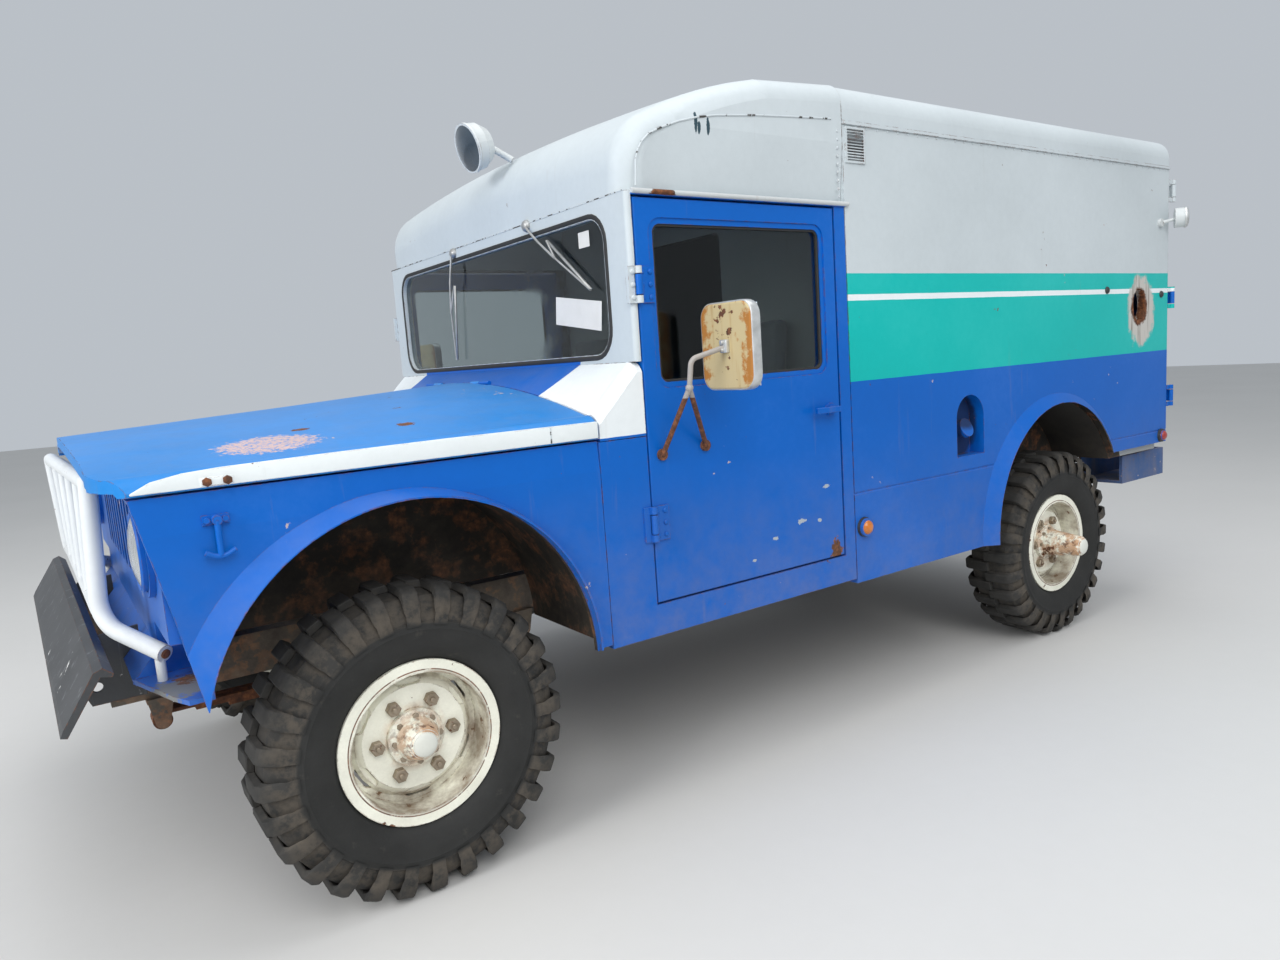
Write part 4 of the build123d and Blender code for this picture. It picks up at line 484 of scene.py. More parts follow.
def hood_marks(coat):
    # the paint scuffed through to primer in specks, and small rust spots
    scuff = coat.patch((1.9975, 0.79, 1.284), (0.135, 0.105, 0.08), 0.4, 60.0)
    specks = steps(coat.tree, coat.grain(95.0, 8.0, 0.75), 0.4, 0.5)
    coat.over(times(coat.tree, scuff, specks), (0.6, 0.44, 0.42), 0.75)
    for x, y in ((1.88, 0.66), (1.62, 0.78), (1.55, 0.52)):
        coat.rust(coat.patch((x, y, 1.3), (0.028, 0.02, 0.06), 0.5, 70.0), 90.0)


def louvre_slot_shade(coat):
    # painted shade in the gaps between the slats of the vent behind the cab
    tree = coat.tree
    x, _, z = apart(tree, place(tree))
    inset = times(tree, steps(tree, x, *VENT_REAR), steps(tree, x, *VENT_FRONT))
    tall = times(tree, above(tree, z, VENT_LOW), below(tree, z, VENT_TOP))
    slats = calc(tree, "SINE", times(tree, z, 2 * pi / SLAT_PITCH))
    gaps = times(tree, times(tree, inset, tall), steps(tree, slats, 0.0, 0.4))
    coat.over(gaps, (0.05, 0.055, 0.06), 0.7, 0.9)


def floor_shade_and_dirt(coat):
    # painted shade with rust and dust on the boxes over the rear wheels, and painted shade on faces that look
    # down
    tree = coat.tree
    arch_shade_and_dirt(coat, REAR_ARCH, WHEEL_BOX_RADIUS)
    # painted shade on faces that look down
    coat.over(below(tree, apart(tree, normal(tree))[2], -0.4), PAINTED_SHADE_BLACK, 0.9)


def side_shade_and_marks(coat):
    louvre_slot_shade(coat)
    # painted shade on the faces inside the body that look towards its middle
    coat.over(coat.mask(INSIDE), (0.2, 0.205, 0.2), 0.8)
    arch_shade_and_dirt(coat, REAR_ARCH, REAR_ARCH_RADIUS)
    scrape = coat.patch((-2.145, 1.008, 1.523), (0.14, 0.05, 0.185), 0.2, 16.0)
    coat.over(scrape, (0.55, 0.53, 0.49), 0.8)
    bare = times(coat.tree, scrape, coat.mask(STREAKS, Scale=40.0, Share=0.7))
    coat.over(bare, (0.2, 0.17, 0.14), 0.8)
    # painted shade in the fuel filler's recess
    coat.over(coat.patch((-0.715, 0.93, 1.086), (0.13, 0.068, 0.16), 0.05), (0.012, 0.02, 0.05), 0.8, 0.85)
    coat.rust(coat.patch((-2.13, 1.008, 1.545), (0.085, 0.05, 0.1), 0.2, 30.0))
    for x, z in ((-0.965, 0.66), (-0.952, 0.62), (-0.94, 0.585)):
        coat.rust(coat.patch((x, 1.03, z), (0.035, 0.06, 0.03), 0.7, 40.0))


def materials():
    made = {}
    made["hood"] = painted("hood_paint", SUNNED_BLUE, 0.42, 0.06, before=hood_marks)
    made["fender"] = painted("fender_paint", BLUE, 0.36, 0.07, before=fender_shade_and_marks)
    made["panel"] = painted("front_panel_paint", BLUE, 0.38, 0.09, before=apron_marks)
    made["door"] = painted("door_paint", BLUE, 0.34, 0.06, before=door_marks)
    upper = (STRIPE_TOP, OVER_ALL, WHITE)
    stripes = ((STRIPE_LOW, STRIPE_TOP, GREEN), (LINE_LOW, LINE_TOP, BRIGHT_WHITE), upper)
    above_doors = ((CAB_WHITE_LOW, OVER_ALL, WHITE),)
    corners = ((COWL_WHITE_LOW, OVER_ALL, BRIGHT_WHITE),)
    made["side"] = painted("body_side_paint", BLUE, 0.36, 0.03, 0.35, bands=stripes, before=side_shade_and_marks)
    made["cab_side"] = painted("cab_side_paint", BLUE, 0.34, 0.05, bands=above_doors, before=inner_painted_shade)
    made["cowl"] = painted("cowl_paint", BLUE, 0.36, 0.05, bands=corners, before=cowl_marks)
    made["frame"] = painted("windscreen_frame_paint", WHITE, 0.45, 0.04, dust=0.2, before=frame_marks)
    made["step"] = painted("rear_step_paint", (0.02, 0.1, 0.3), 0.6, 0.3, dust=0.9, streaks=0.8)
    made["mirror"] = mirror_paint()
    made["floor"] = painted("load_floor_paint", (0.4, 0.42, 0.42), 0.5, 0.04, dust=0.5, before=floor_shade_and_dirt)
    made["lamp"] = painted("lamp_shell_paint", BLUE, 0.4, 0.1, bands=((SPOTLIGHT_LOW, OVER_ALL, PALE_GREY),))
    made["white"] = painted("white_paint", WHITE, 0.5, 0.02, dust=0.25, before=roof_marks)
    made["rear"] = painted("rear_paint", BLUE, 0.4, 0.04, bands=(upper,))
    made["guard"] = painted("guard_paint", (0.72, 0.75, 0.76), 0.45, 0.12)
    bumper = Finish("bumper_paint", (0.045, 0.047, 0.05), 0.5).fade(0.5, 5.0)
    bumper.over(bumper.mask(STREAKS, Scale=40.0, Share=0.4), (0.2, 0.205, 0.22), 0.4)
    for scale, share in ((9.0, 0.12), (30.0, 0.1)):
        bumper.over(bumper.specks(scale, share, 6.0), (0.6, 0.6, 0.58), 0.5)
    bumper.rust(bumper.mask(EDGES, Radius=0.005))
    made["bumper"] = bumper.done()
    rusty = Finish("rusty_steel", (0.1, 0.05, 0.03), 0.85)
    rusty.colour = rusty.group(RUST, Scale=40.0)["Color"]
    rusty.bump(rusty.grain(90.0, 6.0), 0.4, 0.003)
    made["rusty"] = rusty.done()
    under = Finish("under_body_black", (0.045, 0.042, 0.04), 0.7).fade(0.4, 4.0)
    under.rust(under.specks(18.0, 0.55, 3.0), 40.0)
    under.dusty(1.4, 1.3, 0.9)
    made["under"] = under.done()
    cast = Finish("oily_casting", (0.12, 0.115, 0.11), 0.55).fade(0.5, 6.0)
    cast.over(cast.specks(12.0, 0.6), SOOT, 0.35)
    made["cast"] = cast.done()
    for end, axle in (("front", FRONT_AXLE), ("rear", REAR_AXLE)):
        made["tyre_" + end] = tyre_rubber(end, axle)
        made["wheel_" + end] = wheel_paint(end, axle)
    made["glass"] = glass("window_glass", (0.55, 0.6, 0.6), 0.02)
    rubber = Finish("black_rubber", (0.018, 0.018, 0.018), 0.55).fade(0.3, 12.0)
    rubber.dusty(1.9, 0.2, 0.9)
    made["rubber"] = rubber.done()
    vinyl = Finish("dash_vinyl", (0.03, 0.03, 0.032), 0.6).fade(0.3, 10.0)
    vinyl.bump(vinyl.grain(240.0, 3.0), 0.3, 0.001)
    made["vinyl"] = vinyl.done()
    cloth = Finish("seat_cloth", (0.16, 0.17, 0.18), 0.85).fade(0.3, 8.0)
    cloth.bump(cloth.grain(420.0, 2.0), 0.4, 0.001)
    made["cloth"] = cloth.done(Sheen_Weight=0.3)
    made["nut"] = small_metal("bronzed_nuts", (0.33, 0.27, 0.2), 0.5, 0.3)
    made["cap_white"] = painted("hub_cap_paint", (0.78, 0.79, 0.72), 0.35, 0.12, dust=0.2)
    made["moulding"] = painted("white_moulding_paint", (0.78, 0.82, 0.82), 0.38, 0.07, dust=0.15)
    made["drip"] = painted("drip_rail_paint", (0.55, 0.57, 0.57), 0.45, 0.1, 0.3, 0.4, before=drip_marks)
    made["white_trim"] = painted("white_rivet_paint", WHITE, 0.45, 0.04, dust=0.2)
    made["bolt_blue"] = painted("blue_bolt_paint", BLUE, 0.4, 0.25, dust=0.2)
    made["bolt_white"] = painted("white_bolt_paint", WHITE, 0.45, 0.2, dust=0.2)
    made["wiper"] = small_metal("dull_black_metal", (0.03, 0.03, 0.032), 0.45, 0.1, 0.0)
    made["mirror_glass"] = Finish("silvered_glass", (0.75, 0.78, 0.8), 0.06, 1.0).fade(0.05, 6.0).done()
    made["steel"] = small_metal("weathered_steel", (0.42, 0.42, 0.41), 0.4, 0.15)
    made["silver"] = small_metal("dull_silver", (0.62, 0.63, 0.62), 0.35, 0.1)
    sealant = Finish("old_sealant", (0.06, 0.055, 0.05), 0.8).fade(0.5, 20.0)
    sealant.over(sealant.specks(30.0, 0.7, 8.0), WHITE, 0.6)
    made["sealant"] = sealant.done()
    paper = Finish("blank_sticker", (0.72, 0.7, 0.66), 0.6).fade(0.1, 12.0)
    paper.over(paper.specks(60.0, 0.2), (0.45, 0.4, 0.36), 0.8)
    made["paper"] = paper.done()
    for name, tint in (("amber", (0.6, 0.16, 0.005)), ("red", (0.35, 0.008, 0.01))):
        lens = Finish(name + "_lens", tint, 0.25).fade(0.3, 30.0)
        lens.dusty(1.6, 0.25)
        lens.bump(lens.grain(190.0, 2.0), 0.4, 0.001)
        made[name] = lens.done(Coat_Weight=0.6, Coat_Roughness=0.15)
    made["headlamp"] = fluted_lens()
    dark = Finish("dusty_dark_lens", (0.05, 0.075, 0.1), 0.15, 0.4).fade(0.4, 16.0)
    dark.dusty(1.9, 0.4, 0.7)
    made["dark_lens"] = dark.done(Coat_Weight=0.8, Coat_Roughness=0.05)
    return made


def mirror_paint():
    # rusty brackets, a cream head whose sides have rusted and a bare tube between them
    coat = Finish("mirror_paint", (0.1, 0.05, 0.03), 0.8)
    tree = coat.tree
    coat.colour = coat.group(RUST, Scale=50.0)["Color"]
    x, y, z = apart(tree, place(tree))
    out = calc(tree, "ABSOLUTE", y)
    clamp_plane = 0.757
    clamp = times(tree, above(tree, z, 1.325), above(tree, x, clamp_plane))
    coat.over(clamp, (0.4, 0.385, 0.36), 0.45, 0.85)
    shell = times(tree, above(tree, z, 1.335), above(tree, out, 1.05))
    head = times(tree, shell, below(tree, x, clamp_plane))
    coat.over(head, (0.56, 0.45, 0.24), 0.45)
    runs = coat.mask(STREAKS, Scale=34.0, Share=0.62)
    coat.over(times(tree, head, runs), (0.4, 0.2, 0.05), 0.7, 0.75)
    aside = calc(tree, "ABSOLUTE", minus(tree, out, 1.185))
    ragged = times(tree, minus(tree, noise(tree, 16.0, 9.0, 0.7), 0.5), 0.3)
    worn = steps(tree, plus(tree, aside, ragged), 0.075, 0.1)
    coat.over(times(tree, worn, head), (0.42, 0.17, 0.03), 0.8)
    coat.rust(times(tree, head, coat.specks(24.0, 0.25, 9.0)))
    coat.bump(noise(tree, 120.0, 6.0), 0.2, 0.002)
    return coat.done()


def small_metal(name, colour, roughness, rust, metallic=0.6):
    coat = Finish(name, colour, roughness, metallic).fade(0.4, 30.0)
    coat.rust(coat.specks(60.0, rust, 20.0), 90.0)
    coat.bump(coat.grain(220.0, 4.0), 0.15, 0.001)
    return coat.done()


def fluted_lens():
    # upright flutes in dusty glass over a silvered bowl, with painted shade in the grooves between the flutes
    coat = Finish("fluted_lens", (0.5, 0.53, 0.55), 0.2, 0.35).fade(0.25, 14.0)
    across = apart(coat.tree, place(coat.tree))[1]
    ribs = calc(coat.tree, "ABSOLUTE", calc(coat.tree, "SINE", times(coat.tree, across, 330.0)))
    # painted shade along the grooves between the flutes
    coat.over(steps(coat.tree, ribs, 0.25, 0.0), (0.16, 0.17, 0.18), 0.4)
    coat.dusty(1.4, 0.6)
    coat.bump(ribs, 0.5, 0.003)
    return coat.done(Coat_Weight=0.7, Coat_Roughness=0.1)


# Distances from the wheel's axis between which a mask rises from none to full
SHOULDER = (0.338, 0.352)
LUG_TOPS = (0.4385, 0.43)
LUG_ROOTS = (0.428, 0.385)
RING_INNER = (0.2035, 0.205)
RING_OUTER = (0.2085, 0.207)
BARREL_INNER = (0.156, 0.168)
BARREL_OUTER = (0.206, 0.2)
HUB_RUST = {"front": (0.105, 0.03), "rear": (0.14, 0.03)}


def tyre_rubber(end, axle):
    coat = Finish("tyre_rubber_" + end, (0.022, 0.022, 0.021), 0.72).fade(0.5, 9.0)
    tree = coat.tree
    radius = coat.group(TURN, Axis=axle)["Radius"]
    shoulder = steps(tree, radius, *SHOULDER)
    tread = times(tree, shoulder, steps(tree, radius, *LUG_TOPS))
    dirt = steps(tree, noise(tree, 14.0, 7.0, 0.7), 0.3, 0.6)
    coat.over(times(tree, shoulder, dirt), (0.045, 0.043, 0.04), 0.85)
    caked = steps(tree, noise(tree, 18.0, 7.0, 0.7), 0.42, 0.66)
    roots = times(tree, tread, steps(tree, radius, *LUG_ROOTS))
    coat.over(times(tree, roots, caked), (0.13, 0.105, 0.078), 0.95, 0.85)
    coat.over(times(tree, tread, caked), (0.085, 0.075, 0.063), 0.95, 0.6)
    coat.over(steps(tree, noise(tree, 26.0, 9.0, 0.72), 0.6, 0.75), (0.1, 0.09, 0.075), 0.9, 0.35)
    coat.bump(noise(tree, 70.0, 5.0), 0.25, 0.002)
    return coat.done(Specular_IOR_Level=0.35)


def wheel_paint(end, axle):
    coat = Finish("wheel_paint_" + end, CREAM, 0.45).fade(0.25, 6.0)
    tree = coat.tree
    radius = coat.group(TURN, Axis=axle)["Radius"]
    coat.rust(coat.mask(EDGES, Radius=0.006, Ragged=26.0), 70.0)
    near = steps(tree, radius, *HUB_RUST[end])
    grain = noise(tree, 34.0, 8.0, 0.7)
    blotch = steps(tree, noise(tree, 22.0, 8.0, 0.68), 0.44, 0.54)
    coat.over(times(tree, near, blotch), (0.5, 0.2, 0.045), 0.8, 0.9)
    coat.rust(times(tree, near, steps(tree, grain, 0.5, 0.6)))
    coat.rust(coat.specks(22.0, 0.2, 7.0))
    split_ring = times(tree, steps(tree, radius, *RING_INNER), steps(tree, radius, *RING_OUTER))
    coat.rust(times(tree, split_ring, steps(tree, grain, 0.34, 0.46)), 70.0)
    barrel = times(tree, steps(tree, radius, *BARREL_INNER), steps(tree, radius, *BARREL_OUTER))
    caked = steps(tree, noise(tree, 7.0, 7.0, 0.65), 0.42, 0.62)
    coat.over(times(tree, barrel, caked), (0.2, 0.13, 0.075), 0.8, 0.8)
    coat.dusty(0.9, 0.2)
    coat.bump(grain, 0.12, 0.002)
    return coat.done()


def glass(name, tint, roughness):
    coat = Finish(name, tint, roughness)
    dirt = times(coat.tree, steps(coat.tree, coat.grain(5.0, 8.0, 0.7), 0.5, 0.8), 0.25)
    coat.roughness = plus(coat.tree, dirt, roughness)
    return coat.done(Transmission_Weight=1.0, IOR=1.3)


PAINTS = materials()

# The CAD nodes that carry each paint, every other node is black as the underside
NODES_OF_PAINT = {
    "hood": "hood", "fender": "fenders", "cowl": "cowl", "cab_side": "cab_sides", "frame": "windscreen_frame",
    "white": "cab_roof rear_roof", "side": "body_sides", "rear": "rear_frame rear_door_left rear_door_right",
    "floor": "load_floor", "panel": "front_panel", "guard": "brush_guard", "bumper": "front_bumper",
    "step": "bumperettes", "rubber": "wipers", "cloth": "seats", "vinyl": "dashboard steering_wheel",
    "lamp": "lamps", "rusty": "leaf_springs exhaust", "cast": "engine driveline",
    "door": "door_left door_right", "mirror": "mirror_left mirror_right",
    "glass": "windscreen door_glass_left door_glass_right rear_door_glass_left rear_door_glass_right",
}
for end in ("front", "rear"):
    NODES_OF_PAINT["tyre_" + end] = "tyre_%s_left tyre_%s_right" % (end, end)
    NODES_OF_PAINT["wheel_" + end] = "rim_%s_left rim_%s_right" % (end, end)
PAINT_OF_NODE = {node: paint for paint, named in NODES_OF_PAINT.items() for node in named.split()}
for name, node in nodes.items():
    paint = PAINTS[PAINT_OF_NODE.get(name, "under")]
    for slot in node.material_slots:
        slot.material = paint


# Modelling steps, each as done by hand in edit mode
def spot(x, y, z):
    # a place in millimetres ahead of the front axle, left of the middle and above the ground
    return Vector((FRONT_AXLE.x + x / 1000.0, y / 1000.0, z / 1000.0))


def leave_edit():
    if bpy.context.object and bpy.context.object.mode == "EDIT":
        bpy.ops.object.mode_set(mode="OBJECT")


def deselect():
    leave_edit()
    bpy.ops.object.select_all(action="DESELECT")


def select_all():
    bpy.ops.mesh.select_all(action="SELECT")


def named(piece, name):
    piece.name = name
    piece.data.name = name
    return piece


def select_only(piece):
    deselect()
    piece.select_set(True)
    bpy.context.view_layer.objects.active = piece


def start(kind, name, **settings):
    deselect()
    getattr(bpy.ops.mesh, "primitive_%s_add" % kind)(**settings)
    piece = named(bpy.context.object, name)
    bpy.ops.object.transform_apply(location=True, rotation=True, scale=True)
    return piece


def edit_all(piece):
    select_only(piece)
    bpy.context.tool_settings.mesh_select_mode = (True, False, False)
    bpy.ops.object.mode_set(mode="EDIT")
    select_all()


def pick(piece, what, test):
    # selects points by place, or faces by middle and facing
    leave_edit()
    mesh = piece.data
    for parts in (mesh.vertices, mesh.edges, mesh.polygons):
        parts.foreach_set("select", [False] * len(parts))
    bpy.context.tool_settings.mesh_select_mode = (what == "points", False, what == "faces")
    if what == "points":
        for point in mesh.vertices:
            point.select = bool(test(point.co))
    else:
        for face in mesh.polygons:
            face.select = bool(test(face.center, face.normal))
    bpy.ops.object.mode_set(mode="EDIT")


def push(piece, what, test, by):
    pick(piece, what, test)
    bpy.ops.transform.translate(value=by)


def stretch(piece, what, test, by, about):
    pick(piece, what, test)
    bpy.ops.transform.resize(value=by, center_override=about)


def draw_out(by):
    bpy.ops.mesh.extrude_region_move(TRANSFORM_OT_translate={"value": by})


def close_up():
    # merges doubles, turns the faces outwards and leaves edit mode
    select_all()
    bpy.ops.mesh.remove_doubles(threshold=0.00005)
    bpy.ops.mesh.normals_make_consistent(inside=False)
    leave_edit()


def draw_line(name, places):
    # edges drawn from place to place, left in edit mode
    piece = start("plane", name, size=0.01, location=places[0])
    edit_all(piece)
    bpy.ops.mesh.merge(type="CENTER")
    for before, after in zip(places, places[1:]):
        by = tuple(b - a for a, b in zip(before, after))
        bpy.ops.mesh.extrude_vertices_move(TRANSFORM_OT_translate={"value": by})
    return piece


def lathe(name, profile, centre, sides, turned=0.0):
    # points of (outwards, radius) spun about an axis across the truck, then turned about the upright
    x, y, z = centre
    piece = draw_line(name, [(x, y + out, z + radius) for out, radius in profile])
    select_all()
    bpy.ops.mesh.spin(steps=sides, angle=2 * pi, center=centre, axis=(0.0, 1.0, 0.0))
    close_up()
    if turned:
        turn(piece, turned, "Z", centre)
    return piece


def turn(piece, degrees, axis, about):
    # turns the whole piece about a place, in its mesh; the rotate step counts clockwise
    edit_all(piece)
    bpy.ops.transform.rotate(value=radians(-degrees), orient_axis=axis, center_override=about)
    leave_edit()
    return piece


def smooth_edges(piece, width, segments=2):
    select_only(piece)
    modifier = piece.modifiers.new("edges", "BEVEL")
    modifier.width = width
    modifier.segments = segments
    modifier.limit_method = "ANGLE"
    modifier.angle_limit = radians(35)
    bpy.ops.object.modifier_apply(modifier="edges")
    return piece


def finish(piece, paint, body="chassis", smooth=40.0):
    select_only(piece)
    bpy.ops.object.shade_smooth_by_angle(angle=radians(smooth))
    piece.data.materials.clear()
    piece.data.materials.append(PAINTS[paint])
    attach(piece, body)
    return piece


def another(piece, name, by=(0.0, 0.0, 0.0), mirror=False):
    # a copy with a mesh of its own, moved or mirrored across the truck
    select_only(piece)
    bpy.ops.object.duplicate()
    fresh = named(bpy.context.object, name)
    edit_all(fresh)
    bpy.ops.transform.translate(value=by)
    if mirror:
        bpy.ops.transform.resize(value=(1.0, -1.0, 1.0), center_override=(0.0, 0.0, 0.0))
        bpy.ops.mesh.normals_make_consistent(inside=False)
    leave_edit()
    return fresh


def on_both_sides(piece, paint, body="chassis"):
    # finishes a left piece and its mirror image, which rides on the right one of two bodies
    other = another(piece, piece.name.replace("left", "right"), mirror=True)
    finish(piece, paint, body)
    finish(other, paint, body.replace("left", "right"))


def unite(pieces, name):
    select_only(pieces[0])
    for piece in pieces[1:]:
        piece.select_set(True)
    bpy.ops.object.join()
    return named(bpy.context.object, name)


def rod(name, first, last, radius, sides):
    # a round bar between two places, its ends eased
    first = Vector(first)
    last = Vector(last)
    along = last - first
    turned = along.to_track_quat("Z", "Y").to_euler()
    piece = start("cylinder", name, vertices=sides, radius=radius, depth=along.length,
                  location=(first + last) / 2, rotation=turned)
    direction = along.normalized()
    pick(piece, "faces", lambda middle, facing: abs(facing.dot(direction)) > 0.99)
    bpy.ops.mesh.inset(thickness=radius * 0.12)
    leave_edit()
    return smooth_edges(piece, min(0.0012, radius * 0.3), 1)


def pipe(name, places, radius):
    # a line drawn from place to place, made a round pipe with closed ends
    draw_line(name, places)
    leave_edit()
    bpy.ops.object.convert(target="CURVE")
    path = bpy.context.object.data
    path.bevel_depth = radius
    path.bevel_resolution = 2
    path.use_fill_caps = True
    bpy.ops.object.convert(target="MESH")
    piece = named(bpy.context.object, name)
    edit_all(piece)
    close_up()
    return piece


FACING_UP = (0.0, 0.0, 0.0)
FACING_FRONT = (pi / 2, 0.0, pi / 2)
FACING_LEFT = (pi / 2, 0.0, pi)


def flat_sheet(name, centre, facing, size):
    # a plane of the given width and height, left in edit mode
    piece = start("plane", name, size=1.0, location=centre, rotation=facing)
    edit_all(piece)
    wide, high = size[:2]
    by = {FACING_UP: (wide, high, 1.0), FACING_FRONT: (1.0, wide, high), FACING_LEFT: (wide, 1.0, high)}
    bpy.ops.transform.resize(value=by[facing], center_override=centre)
    return piece


def plate(name, low, high):
    # a block drawn up from a plane between two corners
    low = Vector(low)
    high = Vector(high)
    size = high - low
    piece = flat_sheet(name, ((low.x + high.x) / 2, (low.y + high.y) / 2, low.z), FACING_UP, size)
    draw_out((0.0, 0.0, size.z))
    close_up()
    return piece


def frame_round(name, centre, facing, size, corner, wide, deep):
    # a rubber or trim round an opening: an outline with rounded corners, inset, opened and drawn out
    piece = flat_sheet(name, centre, facing, size)
    bpy.ops.mesh.bevel(offset=corner, segments=6, affect="VERTICES")
    bpy.context.tool_settings.mesh_select_mode = (False, False, True)
    select_all()
    bpy.ops.mesh.inset(thickness=wide)
    bpy.ops.mesh.delete(type="FACE")
    select_all()
    draw_out((deep, 0.0, 0.0) if facing == FACING_FRONT else (0.0, deep, 0.0))
    close_up()
    return smooth_edges(piece, min(wide, deep) * 0.3)


def dome(name, centre, radius, height, sides=20, turned=0.0):
    # a low round head or lens on a face that looks left
    profile = [(-0.002, 0.0), (-0.002, radius), (height * 0.35, radius), (height * 0.72, radius * 0.82),
               (height * 0.93, radius * 0.5), (height, 0.0)]
    return lathe(name, profile, centre, sides, turned)


def hex_head(name, centre, reach, length):
    # a hexagon nut or bolt head that looks left, its outer corners taken off
    piece = start("cylinder", name, vertices=6, radius=reach, depth=length,
                  location=(centre[0], centre[1] + length / 2, centre[2]), rotation=(pi / 2, 0.0, 0.0))
    pick(piece, "faces", lambda middle, facing: facing.y > 0.9)
    draw_out((0.0, length * 0.14, 0.0))
    bpy.ops.transform.resize(value=(0.86, 1.0, 0.86), center_override=centre)
    close_up()
    return piece


def round_about(piece, count, centre):
    # carries the piece round an axis across the truck
    edit_all(piece)
    angle = 2 * pi * (count - 1) / count
    bpy.ops.mesh.spin(steps=count - 1, angle=angle, dupli=True, center=centre, axis=(0.0, 1.0, 0.0))
    leave_edit()
    return piece


# Wheels
LUGS = 28
# Half of the carcass's outline, each point outwards from the tyre's middle and from the axle
TYRE_HALF = ((0.084, 0.2075), (0.0855, 0.236), (0.0955, 0.2425), (0.1075, 0.258), (0.1165, 0.282),
             (0.1205, 0.308), (0.1213, 0.321), (0.1228, 0.3245), (0.1218, 0.328), (0.1205, 0.343),
             (0.114, 0.348), (0.107, 0.374), (0.098, 0.398), (0.084, 0.412), (0.05, 0.4175), (0.0, 0.419))


def lug(centre):
    x, y, z = centre
    piece = start("cube", "lug", size=1.0, location=(x, y + 0.040, z + 0.4292), scale=(0.052, 0.100, 0.0226))
    stretch(piece, "points", lambda co: co.z > z + 0.43, (0.8, 1.0, 1.0), centre)
    pick(piece, "faces", lambda middle, facing: facing.y > 0.9)
    for by in ((0.0, 0.021, -0.0115), (0.0, 0.012, -0.038), (0.0, 0.0005, -0.036)):
        draw_out(by)
    stretch(piece, "points", lambda co: co.z < z + 0.372, (0.86, 1.0, 1.0), centre)
    leave_edit()
    return smooth_edges(piece, 0.0028, 1)


def tyre(centre):
    # the carcass turned about the axle, and the lugs carried round each side half a pitch apart
    profile = [(-out, radius) for out, radius in TYRE_HALF] + list(reversed(TYRE_HALF[:-1]))
    profile.append(profile[0])
    carcass = lathe("carcass", profile, centre, 84)
    left = lug(centre)
    right = another(left, "lug_right")
    edit_all(right)
    bpy.ops.transform.resize(value=(1.0, -1.0, 1.0), center_override=centre)
    bpy.ops.mesh.normals_make_consistent(inside=False)
    bpy.ops.transform.rotate(value=pi / LUGS, orient_axis="Y", center_override=centre)
    leave_edit()
    treads = [round_about(piece, LUGS, centre) for piece in (left, right)]
    return unite([carcass] + treads, "tyre_tread_front_left")


STUD_REACH = 0.111125
FRONT_CAP_OUT = 0.108
REAR_CAP_OUT = 0.2195
# Outlines turned about the stud and the axle, each point outwards and from the axis
STUD = ((0.03, 0.0), (0.03, 0.0085), (0.0585, 0.0085), (0.061, 0.006), (0.061, 0.0))
HUB_CAP = ((-0.03, 0.0), (-0.03, 0.0375), (-0.002, 0.0375), (0.0, 0.041), (0.002, 0.041), (0.0035, 0.037),
           (0.008, 0.0355), (0.012, 0.029), (0.0145, 0.018), (0.0155, 0.0))


def hub_fittings(centre, cap_out, name):
    # wheel nuts on their studs, bolts round the hub's flange and a pressed cap
    x, y, z = centre
    nut = hex_head("nuts", (x, y + 0.0325, z + STUD_REACH), 0.0205, 0.0185)
    stud = lathe("stud", STUD, (x, y, z + STUD_REACH), 10)
    nuts = round_about(turn(unite([nut, stud], "nuts"), 30.0, "Y", centre), 6, centre)
    bolts = round_about(hex_head("bolts", (x, y + 0.0535, z + 0.0655), 0.0095, 0.0075), 8, centre)
    cap = lathe("hub_cap_" + name, [(cap_out + out, radius) for out, radius in HUB_CAP], centre, 32)
    return unite([nuts, bolts], "wheel_nuts_" + name), cap


def wheels():
    front = (FRONT_AXLE.x, WHEEL_OUT, HUB_HEIGHT)
    rear = (REAR_AXLE.x, WHEEL_OUT, HUB_HEIGHT)
    back = (-WHEELBASE, 0.0, 0.0)
    tread = tyre(front)
    for end, side, piece in (
            ("front", "left", tread),
            ("rear", "left", another(tread, "tyre_tread_rear_left", by=back)),
            ("front", "right", another(tread, "tyre_tread_front_right", mirror=True)),
            ("rear", "right", another(tread, "tyre_tread_rear_right", by=back, mirror=True))):
        finish(piece, "tyre_" + end, "wheel_%s_%s" % (end, side), 32.0)
        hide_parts("tyre_%s_%s" % (end, side))
    for end, centre, out in (("front", front, FRONT_CAP_OUT), ("rear", rear, REAR_CAP_OUT)):
        nuts, cap = hub_fittings(centre, out, end + "_left")
        on_both_sides(nuts, "nut", "wheel_%s_left" % end)
        on_both_sides(cap, "cap_white", "wheel_%s_left" % end)


